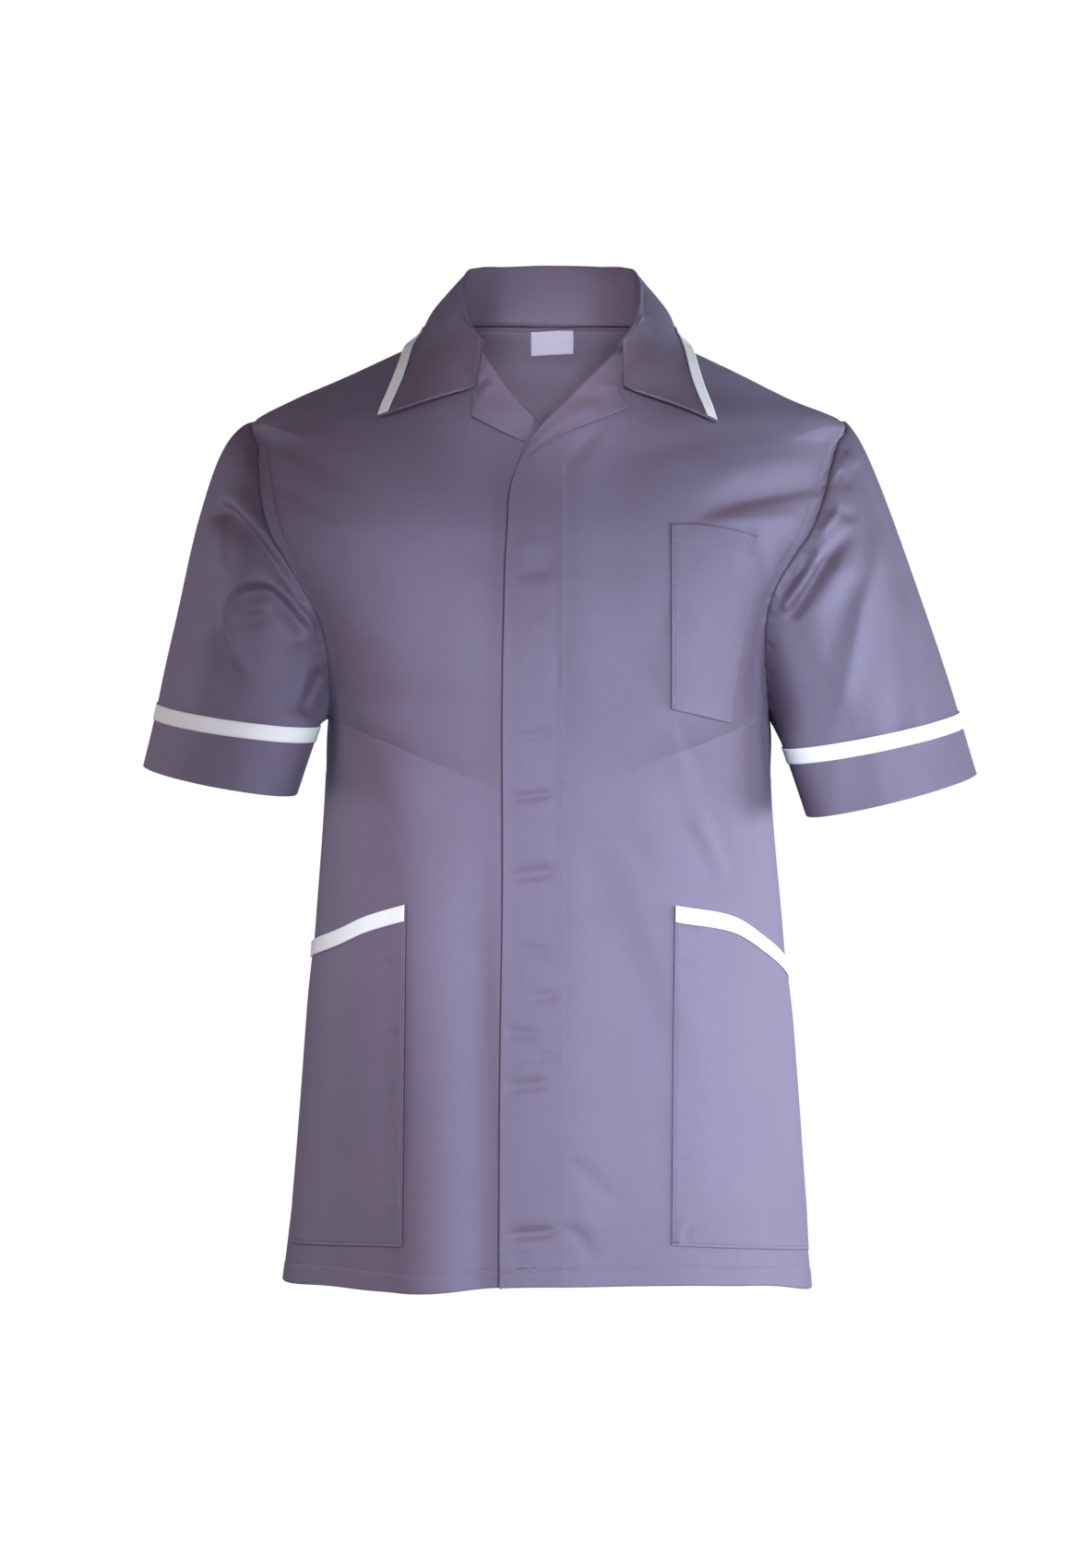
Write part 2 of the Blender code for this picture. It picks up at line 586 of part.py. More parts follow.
def collar_half(side):
    """Half the collar, by column from the back's middle and by row up the stand, over the roll and
    down the fall, whose last two rows of cells are under the tape."""
    share = np.linspace(0, 1, COLLAR_COLUMNS + 1)
    neck, roll, _ = collar_row(side, share)
    t = np.linspace(0, 1, STAND_ROWS + 1)[None, :, None]
    stand = neck[:, None] * (1 - t) + roll[:, None] * t
    turn = (math.pi * np.arange(1, ROLL_ROWS) / ROLL_ROWS)[None, :, None]
    middle = (roll + outward(roll) * ROLL_WIDTH / 2)[:, None]
    over = middle - outward(roll)[:, None] * ROLL_WIDTH / 2 * np.cos(turn)
    over = over + np.array([0.0, 0.0, ROLL_RISE]) * np.sin(turn)
    start = tape_start(side, share)[:, None]
    gorge = GORGE_SHARE * np.array([[0, 0.5, 1]]) + start * 0
    middle = GORGE_SHARE + (start - GORGE_SHARE) * np.linspace(0, 1, FALL_ROWS - 1)[None, 1:]
    f = np.concatenate([gorge, middle, (start + 1) / 2, start * 0 + 1], 1)
    return np.concatenate([stand, over, fall_points(side, share, f)], 1)


def collar_points():
    """The collar, from its right front end round the back to its left one."""
    return np.concatenate([collar_half(-1)[::-1], collar_half(1)[1:]])


def collar_tape_points():
    """The tape along the collar's whole outer edge, from tip to tip, made from the collar's points."""
    return lifted(collar_points(), LAY_GAP + TAPE)[:, -TAPE_ROWS - 1:]


def lapel_points(side):
    """A lapel, laid on its front: rows from the collar down to the break, and columns from the roll
    line out to its edge."""
    rows = LAPELS[side]
    knots = np.linspace(0, 1, len(rows))
    p = np.linspace(0, 1, 2 * len(rows) - 1)
    roll = np.stack([np.interp(p, knots, column(rows, "roll_" + a)) for a in "xz"], -1)
    outer = np.stack([np.interp(p, knots, column(rows, "outer_" + a)) for a in "xz"], -1)
    q = np.linspace(0, 1, LAPEL_COLUMNS + 1)[:, None, None]
    flat = roll * (1 - q) + outer * q
    points = trunk(-1, flat[..., 0], flat[..., 1])
    if side > 0:
        points = fly_lift(points)
    points[..., 1] -= LAPEL_LIFT
    return points


def off_sheet(points, sheet):
    """The points moved towards the front, where they need it, until none is behind the sheet's flat
    faces."""
    across, along = sheet.shape[:2]
    number = np.arange(across * along).reshape(across, along)
    quads = np.stack([number[:-1, :-1], number[1:, :-1], number[1:, 1:], number[:-1, 1:]], -1)
    tree = BVHTree.FromPolygons(sheet.reshape(-1, 3).tolist(), quads.reshape(-1, 4).tolist())
    out = points.copy()
    for place in np.ndindex(points.shape[:2]):
        x, y, z = points[place]
        hit = tree.ray_cast((x, -1.0, z), (0.0, 1.0, 0.0))[0]
        if hit is not None:
            out[place][1] = min(y, hit.y)
    return out


def hip_grid(side, top_shift, bottom, rows):
    """Points on the trunk from a hip pocket's front edge to its side seam. The top follows the
    pocket's mouth, top_shift lower, and the bottom is a height or how far below the mouth."""
    cut = HIP_POCKETS[side]
    u = np.linspace(0, 1, HIP_COLUMNS + 1)[:, None]
    shares, drops = zip(*cut.mouth)
    top = cut.top - smooth(shares, drops, u) - top_shift
    if bottom is None:
        low = cut.bottom + (cut.side_bottom - cut.bottom) * u
    else:
        low = top - bottom
    t = np.linspace(0, 1, rows + 1)[None, :]
    z = low + (top - low) * t
    front = cut.front_top + (cut.front_bottom - cut.front_top) * (cut.top - z) / (cut.top - cut.bottom)
    half = reach(-1, side, z)
    start = np.arcsin(front / half)
    side_turn = SIDE_TURN + (cut.turn_bottom - SIDE_TURN) * (cut.top - z) / (cut.top - cut.bottom)
    turn = start + (math.pi / 2 * side_turn - start) * u
    return trunk(-1, side * half * np.sin(turn), z)


def hip_pocket_points(side):
    """A hip pocket, laid on its front."""
    return lifted(hip_grid(side, 0.0, None, HIP_ROWS), side * (LAY_GAP + POCKET_EASE + CLOTH))


def hip_trim_points(side):
    """The tape on a hip pocket's mouth."""
    return lifted(hip_grid(side, 0.0, TAPE_WIDTH, 2), side * (2 * LAY_GAP + POCKET_EASE + CLOTH + TAPE))


def chest_pocket_points():
    """The chest pocket, laid on the left front: a grid between its four corners."""
    corner = {name: np.array(place) for name, place in CHEST_POCKET.items()}
    u = np.linspace(0, 1, CHEST_COLUMNS + 1)[:, None, None]
    t = np.linspace(0, 1, CHEST_ROWS + 1)[None, :, None]
    low = corner["bottom_front"] * (1 - u) + corner["bottom_side"] * u
    high = corner["top_front"] * (1 - u) + corner["top_side"] * u
    high = high + np.array([0.0, CHEST_MOUTH_RISE]) * 4 * u * (1 - u)
    flat = low * (1 - t) + high * t
    points = off_sheet(trunk(-1, flat[..., 0], flat[..., 1]), front_points(1))
    return lifted(points, LAY_GAP + POCKET_EASE + CLOTH)


def label_points():
    """The label, inside the back below the neck seam."""
    x = np.linspace(*LABEL_X, 4)[:, None]
    z = np.linspace(*LABEL_Z, 4)[None, :]
    points = trunk(1, x + 0 * z, z + 0 * x)
    return lifted(points, -(CLOTH + LAY_GAP))


def fabric(name, colour, roughness):
    """A plain cloth or button material."""
    material = bpy.data.materials.new(name)
    material.use_nodes = True
    shader = material.node_tree.nodes["Principled BSDF"]
    shader.inputs["Base Color"].default_value = (*colour, 1)
    shader.inputs["Roughness"].default_value = roughness
    shader.inputs["Metallic"].default_value = 0.0
    material.diffuse_color = (*colour, 1)
    return material


def cloth_object(name, points, material, wall, collection, closed=False, flip=False):
    """An object of one sheet: a face between each four neighbours of the grid, and a wall."""
    across, along = points.shape[:2]
    number = np.arange(across * along).reshape(across, along)
    if closed:
        number = np.concatenate([number, number[:1]])
    quads = np.stack([number[:-1, :-1], number[1:, :-1], number[1:, 1:], number[:-1, 1:]], -1).reshape(-1, 4)
    if flip:
        quads = quads[:, ::-1]
    mesh = bpy.data.meshes.new(name)
    mesh.from_pydata(points.reshape(-1, 3).tolist(), [], quads.tolist())
    mesh.shade_smooth()
    mesh.materials.append(material)
    piece = bpy.data.objects.new(name, mesh)
    collection.objects.link(piece)
    solidify = piece.modifiers.new("wall", "SOLIDIFY")
    solidify.thickness = wall
    solidify.offset = -1
    return piece


def button_object(number, material, collection):
    """A plain button between the fronts, on the right one."""
    z = BUTTON_TOP - BUTTON_STEP * number
    x = BUTTON_X + np.array([[-0.004], [0.0], [0.004]])
    patch = trunk(-1, x + np.zeros((3, 3)), z + np.array([[-0.004, 0.0, 0.004]]) + np.zeros((3, 3)))
    normal = normals(patch)[1, 1]
    centre = patch[1, 1] + normal * (LAY_GAP + BUTTON_THICKNESS / 2)
    bpy.ops.mesh.primitive_cylinder_add(
        vertices=20, radius=BUTTON_RADIUS, depth=BUTTON_THICKNESS, location=centre,
        rotation=(math.pi / 2 - math.asin(normal[2]), 0, math.atan2(normal[0], -normal[1])),
    )
    button = bpy.context.object
    button.name = f"button_{number + 1}"
    button.data.materials.append(material)
    for owner in list(button.users_collection):
        owner.objects.unlink(button)
    collection.objects.link(button)


def clear_scene():
    for thing in list(bpy.data.objects):
        bpy.data.objects.remove(thing)


def build():
    clear_scene()
    collection = bpy.data.collections.new("work_tunic")
    bpy.context.scene.collection.children.link(collection)
    cloth = {}
    for name in ("front", "back", "sleeve", "collar", "lapel", "pocket"):
        cloth[name] = fabric(f"{name}_cloth", (0.135, 0.125, 0.185), 0.85)
    white = fabric("white_tape", (0.86, 0.87, 0.90), 0.75)
    satin = fabric("label_satin", (0.80, 0.80, 0.84), 0.45)
    plastic = fabric("button_plastic", (0.20, 0.19, 0.26), 0.35)
    sides = {-1: "right", 1: "left"}
    for side, word in sides.items():
        right = side < 0
        cloth_object(f"front_{word}", front_points(side), cloth["front"], CLOTH, collection, flip=right)
        cloth_object(f"sleeve_{word}", sleeve_points(side), cloth["sleeve"], CLOTH, collection, True, not right)
        cloth_object(f"sleeve_band_{word}", band_points(side), white, TAPE, collection, True, not right)
        cloth_object(f"lapel_{word}", lapel_points(side), cloth["lapel"], CLOTH, collection, flip=not right)
        cloth_object(f"hip_pocket_{word}", hip_pocket_points(side), cloth["pocket"], CLOTH, collection, flip=right)
        cloth_object(f"hip_trim_{word}", hip_trim_points(side), white, TAPE, collection, flip=right)
    cloth_object("back", back_points(), cloth["back"], CLOTH, collection, flip=True)
    cloth_object("collar", collar_points(), cloth["collar"], CLOTH, collection)
    cloth_object("collar_trim", collar_tape_points(), white, TAPE, collection)
    cloth_object("chest_pocket", chest_pocket_points(), cloth["pocket"], CLOTH, collection)
    cloth_object("neck_label", label_points(), satin, LABEL_THICKNESS, collection)
    for number in range(BUTTON_COUNT):
        button_object(number, plastic, collection)


build()
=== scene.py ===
"""A short-sleeved work tunic with an open revere collar, worn and filled out, with nobody in it.

Metres, +Z up. The front faces -Y, and the wearer's left is +X. The origin is the middle of the
neck's base, level with the high points of the shoulders. "Right" and "left" are the wearer's.

Every piece of cloth is a grid of points, by column and row, worked out from the tables below. A
piece's points are on its outer face, and its wall grows inwards. Folds are soft ridges and troughs
along lines that are given in millimetres, as they show from the front or from behind.
"""

import math
from collections import namedtuple

import bpy
import numpy as np
from bpy.props import FloatProperty, FloatVectorProperty, PointerProperty
from bpy.types import Operator, Panel, PropertyGroup
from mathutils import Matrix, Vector


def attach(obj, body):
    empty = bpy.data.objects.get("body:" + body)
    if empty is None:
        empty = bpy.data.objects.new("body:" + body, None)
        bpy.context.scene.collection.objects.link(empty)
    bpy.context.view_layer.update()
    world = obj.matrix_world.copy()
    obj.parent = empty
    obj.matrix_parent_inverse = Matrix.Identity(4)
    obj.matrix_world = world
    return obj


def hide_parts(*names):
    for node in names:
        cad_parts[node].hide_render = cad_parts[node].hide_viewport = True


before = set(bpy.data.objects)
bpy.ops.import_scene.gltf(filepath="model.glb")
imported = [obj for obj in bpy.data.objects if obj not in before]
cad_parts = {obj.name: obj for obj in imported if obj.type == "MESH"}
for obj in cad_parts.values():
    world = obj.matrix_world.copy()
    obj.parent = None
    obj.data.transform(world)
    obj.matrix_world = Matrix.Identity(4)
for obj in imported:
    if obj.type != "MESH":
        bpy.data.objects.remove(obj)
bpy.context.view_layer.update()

bl_info = {
    "name": "Work tunic",
    "version": (1, 0, 0),
    "blender": (4, 5, 0),
    "location": "3D View > Sidebar > Tunic",
    "description": "Makes a work tunic's cloth, tapes, stitching and studio",
    "category": "Object",
}

UV_NAME = "cloth_uv"
SIDES = {-1: "right", 1: "left"}
MM = 0.001

# Walls, gaps and turned edges
WALL = 0.0007
COLLAR_WALL = 0.0008
TAPE_WALL = 0.0006
LAY_GAP = 0.0004
TURN_RADIUS = 0.0009
EDGE_RADIUS = 0.0011
HEM_LINE = 0.013
HEM_TURN = 0.015
FLY_TURN = 0.03

# The number of cells of each sheet, across and along
LOW_ROWS = 120
ARMHOLE_ROWS = 150
SHOULDER_ROWS = 36
FLY_COLUMNS = 20
FRONT_COLUMNS = 68
BACK_HALF_COLUMNS = 66
CAP_ROWS = 84
END_ROWS = 30
COLLAR_COLUMNS = 96
STAND_ROWS = 10
ROLL_ROWS = 10
FALL_ROWS = 34
TURN_ROWS = 6
UNDER_ROWS = 5
FOLD_STEPS = 14
EDGE_STEPS = (0.0006, 0.0016, 0.003)
CLOSEST = 0.0003

# The trunk: half widths to the side seams, how far the middle of the front and back stand from the
# seams, and how square the section is (2 is an ellipse)
Section = namedtuple("Section", "height right left front back square")
TRUNK = (
    Section(-0.745, 0.2085, 0.205, 0.15, 0.15, 2.3),
    Section(-0.673, 0.1998, 0.1983, 0.145, 0.144, 2.3),
    Section(-0.601, 0.1932, 0.1932, 0.139, 0.137, 2.3),
    Section(-0.529, 0.1874, 0.1878, 0.134, 0.13, 2.3),
    Section(-0.457, 0.1817, 0.1817, 0.13, 0.125, 2.3),
    Section(-0.349, 0.1742, 0.173, 0.128, 0.124, 2.3),
    Section(-0.297, 0.1722, 0.1722, 0.129, 0.127, 2.3),
)

# The armholes: where the front's and the back's edges pass at each height
Armhole = namedtuple("Armhole", "height front_right front_left back front_y back_y front_depth back_depth")
ARMHOLES = (
    Armhole(-0.289, 0.1712, 0.1706, 0.173, 0.02, 0.024, 0.129, 0.128),
    Armhole(-0.27, 0.1702, 0.168, 0.1755, 0.035, 0.041, 0.129, 0.129),
    Armhole(-0.244, 0.1712, 0.166, 0.18, 0.051, 0.057, 0.128, 0.129),
    Armhole(-0.22, 0.1778, 0.167, 0.1855, 0.061, 0.067, 0.126, 0.128),
    Armhole(-0.199, 0.189, 0.173, 0.1925, 0.066, 0.072, 0.124, 0.126),
    Armhole(-0.175, 0.203, 0.187, 0.2025, 0.065, 0.073, 0.12, 0.123),
    Armhole(-0.155, 0.2145, 0.2005, 0.2105, 0.06, 0.07, 0.117, 0.12),
    Armhole(-0.13, 0.2215, 0.211, 0.217, 0.049, 0.06, 0.111, 0.115),
    Armhole(-0.105, 0.2245, 0.2175, 0.2205, 0.034, 0.043, 0.104, 0.108),
    Armhole(-0.086, 0.2255, 0.223, 0.2245, 0.019, 0.024, 0.099, 0.102),
)

# The shoulder seams, from the shoulder's outer end to the neck, and above them the neck
Shoulder = namedtuple("Shoulder", "height right left front back")
SHOULDERS = (
    Shoulder(-0.0665, 0.2295, 0.228, 0.094, 0.097),
    Shoulder(-0.05, 0.1995, 0.1895, 0.087, 0.089),
    Shoulder(-0.029, 0.1515, 0.147, 0.079, 0.08),
    Shoulder(-0.014, 0.1195, 0.1155, 0.073, 0.072),
    Shoulder(-0.004, 0.0965, 0.095, 0.069, 0.067),
    Shoulder(0.004, 0.08, 0.08, 0.066, 0.064),
    Shoulder(0.013, 0.0735, 0.0735, 0.063, 0.062),
    Shoulder(0.03, 0.071, 0.071, 0.06, 0.06),
)
ARMHOLE_SQUARE = 2.2
SHOULDER_SQUARE = 2.1
SWELL = 0.0007
SWELL_PITCH = 0.085
UNDERARM = TRUNK[-1].height
SHOULDER_POINT = SHOULDERS[0].height
NECK_POINT = (0.0795, 0.004)

# The hems, from the right side seam to the left one
Point = namedtuple("Point", "x height")
FRONT_HEM = (
    Point(-0.208, -0.7345), Point(-0.173, -0.7312), Point(-0.137, -0.7324), Point(-0.096, -0.732),
    Point(-0.037, -0.7271), Point(0.031, -0.7263), Point(0.135, -0.7288), Point(0.18, -0.7333),
    Point(0.2045, -0.7405),
)
BACK_HEM = (
    Point(-0.208, -0.7345), Point(-0.1, -0.7385), Point(0.015, -0.737), Point(0.11, -0.74),
    Point(0.2045, -0.7405),
)

# The fronts' middle edges, from the hem up to the lapel's break, and their necklines from there
FLY_EDGE = (
    Point(-0.0371, -0.7275), Point(-0.0366, -0.585), Point(-0.0346, -0.429), Point(-0.0341, -0.244),
    Point(-0.0312, -0.156), Point(-0.028, -0.1195), Point(-0.0227, -0.1036), Point(-0.0155, -0.089),
)
FLY_STITCH_X = 0.0112
FLY_WIDTH = 0.046
PANEL_WIDTH = 0.25
UNDER_EDGE = (
    Point(0.012, -0.7275), Point(0.012, -0.429), Point(0.012, -0.2), Point(0.006, -0.089),
)
LEFT_NECKLINE = (
    Point(-0.0155, -0.089), Point(-0.0042, -0.0753), Point(0.0245, -0.0459), Point(0.0541, -0.0153),
    Point(0.07, -0.002), Point(*NECK_POINT),
)
RIGHT_NECKLINE = (
    Point(0.006, -0.089), Point(-0.0093, -0.0733), Point(-0.0333, -0.0459), Point(-0.0516, -0.0167),
    Point(-0.069, -0.002), Point(-NECK_POINT[0], NECK_POINT[1]),
)
BACK_NECKLINE = (
    Point(0.0, 0.013), Point(0.045, 0.012), Point(0.068, 0.009), Point(*NECK_POINT),
)

# The left front stands off the right one as far as the fly, and comes down past its stitching
FLY_LIFT = 0.005
FLY_FULL = 0.014
FLY_END = 0.06

# Small reliefs beside a seam or a line of stitching. A ridge (or, below 0, a groove) has its height,
# how far from the line it runs and its half width, and a pucker also its ripples' pitch. A step
# starts so far from the line and is so wide. ARMHOLE_FADES are rows before an end, and of the fade.
Ridge = namedtuple("Ridge", "height at half")
Pucker = namedtuple("Pucker", "height pitch at half")
PLAIN_SEAM = (Ridge(-0.0007, 0.0, 0.0011), Ridge(0.0004, 0.0045, 0.0035))
ARMHOLE_SEAM = (
    Ridge(-0.0003, 0.0, 0.0004),
    Ridge(0.0005, 0.0011, 0.0008),
    Ridge(0.0003, 0.0026, 0.0024),
)
ARMHOLE_PUCKER = Pucker(0.0007, 0.0085, 0.002, 0.0075)
PUCKER_START = 0.002
ARMHOLE_FADES = ((6, 12), (4, 8))
HEM_LAYER = 0.0004
HEM_STEP = (-0.001, 0.003)
HEM_GROOVE = (Ridge(-0.0005, 0.0, 0.0009),)
HEM_PUCKER = Pucker(0.0003, 0.0095, 0.0, 0.006)
FLY_LAYER = 0.0008
FLY_STEP = (-0.002, 0.005)
FLY_GROOVE = (Ridge(-0.0007, 0.0, 0.001),)
FLY_PUCKER = Pucker(0.0003, 0.011, 0.0, 0.007)
CREASE_DEPTH = 1.4
CREASE_ENDS = (0.3, 0.35)

# The heights in a panel's middle of the rows that meet the armhole's two ends
FRONT_MIDDLE = {"underarm": -0.375, "shoulder": -0.190}
BACK_MIDDLE = {"underarm": -0.33, "shoulder": -0.105}

# Ridges (positive) and troughs (negative), in millimetres, each along its line. "left" and "right"
# are its half widths as someone going along the line has them, and it grows over the first share
# of its length and fades over the last, 0.4 of it each unless they are given.
Fold = namedtuple("Fold", "line left right depth grow fade", defaults=(0.4, 0.4))
FOLDS = {
    "front_right": (
        Fold(((-175, -188), (-154, -258), (-135, -324), (-104, -444)), 40, 15, 8, 0.25, 0.3),
        Fold(((-164, -268), (-145, -317), (-112, -405)), 8, 16, -3, 0.2, 0.35),
        Fold(((-106, -385), (-103, -580), (-106, -790)), 52, 13, 11, 0.25, 0.05),
        Fold(((-138, -450), (-142, -620), (-150, -780)), 20, 22, -3, 0.3, 0.1),
        Fold(((-180, -420), (-186, -560), (-193, -760)), 8, 8, 2, 0.3, 0.1),
        Fold(((-52, -385), (-51, -480), (-48, -600), (-47, -780)), 9, 20, -4.5, 0.3, 0.1),
        Fold(((-80, -540), (-92, -790)), 24, 24, 3.5, 0.6, 0.05),
        Fold(((-217, -115), (-186, -132), (-147, -156)), 10, 8, -1.8, 0.15, 0.5),
        Fold(((-205, -128), (-178, -150)), 8, 10, 1.4, 0.3, 0.5),
        Fold(((-221, -83), (-205, -77)), 2.5, 2.5, -0.9, 0.2, 0.6),
        Fold(((-220, -89), (-204, -83)), 2.5, 2.5, 0.9, 0.2, 0.6),
        Fold(((-219, -95), (-205, -90)), 2.5, 2.5, -1, 0.2, 0.6),
        Fold(((-218, -113), (-206, -113)), 2.2, 2.2, 0.8, 0.2, 0.6),
        Fold(((-218, -118), (-206, -121)), 2.5, 2.5, -1, 0.2, 0.6),
        Fold(((-150, -62), (-100, -95), (-50, -118)), 20, 20, 1.6),
        Fold(((-140, -90), (-95, -125), (-48, -145)), 16, 16, -1.4),
        Fold(((-60, -180), (-75, -330)), 24, 24, 1.2),
    ),
    "front_left": (
        Fold(((103, -148), (138, -135), (171, -128), (216, -118)), 13, 6, -5.5, 0.45, 0.12),
        Fold(((112, -151), (160, -146), (208, -141)), 5, 10, 2.2, 0.3, 0.3),
        Fold(((115, -114), (164, -105), (213, -98)), 11, 11, 2.4, 0.3, 0.2),
        Fold(((35, -104), (115, -87), (206, -68)), 10, 8, -3, 0.5, 0.2),
        Fold(((68, -78), (120, -69)), 9, 9, 1.2),
        Fold(((44, -72), (24, -94), (11, -110)), 6, 6, -1.6, 0.3, 0.4),
        Fold(((157, -150), (166, -177), (171, -212)), 5, 7, 1.8, 0.2, 0.4),
        Fold(((171, -168), (174, -206)), 3, 3, -1.1, 0.3, 0.4),
        Fold(((149, -200), (160, -261), (168, -315)), 9, 10, 2.2, 0.3, 0.4),
        Fold(((152, -228), (163, -262)), 3, 3, -1.2, 0.3, 0.4),
        Fold(((94, -296), (110, -334), (126, -384), (153, -446)), 10, 3.5, -4, 0.12, 0.3),
        Fold(((89, -297), (105, -336), (121, -386), (147, -442)), 4, 11, 2.4, 0.15, 0.35),
        Fold(((97, -370), (115, -399), (127, -438)), 6, 7, -2.4, 0.3, 0.4),
        Fold(((52, -372), (68, -400), (85, -430)), 8, 9, -1.3),
        Fold(((27, -382), (49, -449), (82, -528), (95, -590)), 14, 11, -3.4, 0.25, 0.35),
        Fold(((60, -400), (90, -500), (100, -560)), 14, 14, 1.3),
        Fold(((64, -230), (82, -294)), 12, 12, -1.5),
        Fold(((15, -632), (36, -653), (58, -672)), 7, 3.2, -2.3, 0.1, 0.55),
        Fold(((12, -682), (24, -693), (37, -716)), 5, 2.8, -2.6, 0.1, 0.4),
        Fold(((20, -666), (40, -692)), 7, 7, 1.3),
        Fold(((178, -500), (179, -620), (188, -770)), 6, 7, 2.6, 0.3, 0.1),
        Fold(((165, -470), (164, -600), (168, -740)), 8, 12, -1.8, 0.3, 0.2),
        Fold(((141, -360), (140, -412)), 3.2, 3.2, 1.6, 0.3, 0.4),
        Fold(((154, -356), (168, -436)), 4, 4, 1.8, 0.3, 0.4),
        Fold(((148, -360), (157, -432)), 3, 3, -1.3, 0.3, 0.4),
        Fold(((198, -131), (208, -137)), 2, 2, -0.9, 0.5, 0.1),
        Fold(((187, -139), (199, -147)), 2.4, 2.4, -1.2, 0.5, 0.1),
        Fold(((184, -144), (195, -152)), 2.4, 2.4, 1, 0.5, 0.1),
        Fold(((181, -149), (192, -158)), 2.2, 2.2, -1.1, 0.5, 0.1),
        Fold(((175, -159), (185, -167)), 2, 2, -0.9, 0.5, 0.1),
        Fold(((170, -168), (179, -177)), 2, 2, -0.8, 0.5, 0.1),
        Fold(((207, -100), (219, -103)), 2.4, 2.4, -0.9, 0.5, 0.1),
        Fold(((212, -80), (224, -84)), 2.2, 2.2, -0.8, 0.5, 0.1),
    ),
    "back": (
        Fold(((-105, -180), (-96, -400), (-80, -640)), 30, 24, -5, 0.35, 0.35),
        Fold(((110, -200), (96, -380), (75, -580)), 24, 30, -4.5, 0.35, 0.35),
        Fold(((8, -400), (18, -600), (22, -800)), 30, 34, 6, 0.5, 0.05),
        Fold(((-132, -460), (-138, -640), (-146, -800)), 26, 30, 5, 0.45, 0.05),
        Fold(((124, -480), (134, -640), (144, -800)), 30, 26, 5.5, 0.45, 0.05),
        Fold(((-62, -520), (-60, -790)), 16, 20, -2.6, 0.45, 0.05),
        Fold(((72, -560), (82, -790)), 18, 15, -2.4, 0.45, 0.05),
        Fold(((-176, -290), (-140, -330), (-96, -352)), 9, 6, -2.6, 0.1, 0.55),
        Fold(((-178, -300), (-150, -352), (-118, -388)), 8, 9, 2, 0.15, 0.55),
        Fold(((177, -292), (144, -326), (104, -340)), 6, 9, -2.4, 0.1, 0.55),
        Fold(((178, -304), (156, -350), (128, -392)), 9, 8, 1.9, 0.15, 0.55),
        Fold(((-212, -120), (-170, -150), (-120, -164)), 9, 7, -1.9, 0.15, 0.55),
        Fold(((214, -128), (176, -160), (134, -178)), 7, 9, -2.1, 0.15, 0.55),
        Fold(((-190, -200), (-160, -232), (-128, -248)), 6, 6, 1.3, 0.15, 0.55),
        Fold(((-52, -18), (-8, -30), (46, -20)), 10, 12, -1.6, 0.35, 0.35),
        Fold(((-92, -60), (-20, -78), (70, -62)), 14, 16, 1.4, 0.35, 0.35),
        Fold(((-40, -330), (10, -344), (66, -336)), 9, 12, -1.5),
        Fold(((-58, -366), (-4, -374), (38, -368)), 10, 8, 1.4),
        Fold(((-182, -420), (-188, -560), (-197, -770)), 8, 8, 2, 0.3, 0.1),
        Fold(((181, -440), (187, -590), (196, -780)), 8, 9, 2.2, 0.3, 0.1),
    ),
}

# The creases across the fly, where the hidden buttons pull it
Crease = namedtuple("Crease", "ax az bx bz width depth")
FLY_CREASES = (
    Crease(-30, -170, 10, -167, 6, 0.9),
    Crease(-28, -190, 5, -186, 6, -1.0),
    Crease(-20, -232, 8, -226, 7, 0.5),
    Crease(-27, -314, 5, -310, 4.5, -0.9),
    Crease(-33, -360, 7, -356, 3.6, -1.3),
    Crease(-33, -372, 6, -368, 6, 0.6),
    Crease(-34, -420, 9, -414, 4.2, -2.0),
    Crease(-30, -405, 8, -400, 6, 0.8),
    Crease(-30, -474, 5, -477, 5, -1.2),
    Crease(-16, -511, 10, -508, 2.8, -1.5),
    Crease(-28, -497, 8, -495, 6, 0.7),
    Crease(-35, -535, -6, -539, 4.2, -1.6),
    Crease(-13, -554, 9, -556, 2.8, -1.2),
    Crease(-36, -578, 2, -575, 3.8, -1.7),
    Crease(-30, -562, 6, -565, 5, 0.7),
    Crease(-36, -689, 11, -685, 3.6, -2.4),
    Crease(-34, -675, 8, -672, 7, 0.9),
    Crease(-32, -705, -10, -702, 3.2, -1.1),
    Crease(7, -240, 6, -290, 3, -0.9),
    Crease(-2, -150, -4, -205, 8, -0.7),
)

# The sleeves, in the front view: the ends of the hem's chord, the way that the cloth leaves the
# armhole and meets the straight end, the hem's half depth, and how far back its outer end stands
# and how far forward its inner end. ARMHOLE_OUT is the level and upward share of the way out of
# the armhole.
Sleeve = namedtuple("Sleeve", "inner outer leave_in leave_out meet_in meet_out half_depth turn")
SLEEVES = {
    -1: Sleeve((0.1951, -0.3569), (0.3187, -0.3342), (0.003, -0.007), (0.101, -0.009),
               (0.003, -0.009), (0.084, -0.374), 0.05, 0.034),
    1: Sleeve((0.1987, -0.3737), (0.3362, -0.3404), (0.008, -0.022), (0.047, 0.03),
              (0.008, -0.024), (0.0432, -0.1402), 0.047, 0.03),
}
ARMHOLE_OUT = (0.97, -0.24)
SLEEVE_TUCK = 0.0025
SLEEVE_SINK = 0.0002
SLEEVE_END = 0.056
CAP_LENGTH = 0.13
HEM_CENTRE_Y = -0.005
HEM_FRONT_DROP = 0.125
SLEEVE_BULGE = 0.03
SLEEVE_SWAY = (0.0009, 0.07)
FOLD_START = 0.012
HEAD_PUCKER = Pucker(0.0005, 0.012, 0.006, 0.006)
HEAD_PUCKER_START = 0.003
HEAD_SWELL = (Ridge(0.0003, 0.0026, 0.0026),)
HEAD_SWELL_START = 0.002
SLEEVE_HEM_RIPPLE = Pucker(0.0003, 0.045, 0.0, 0.03)
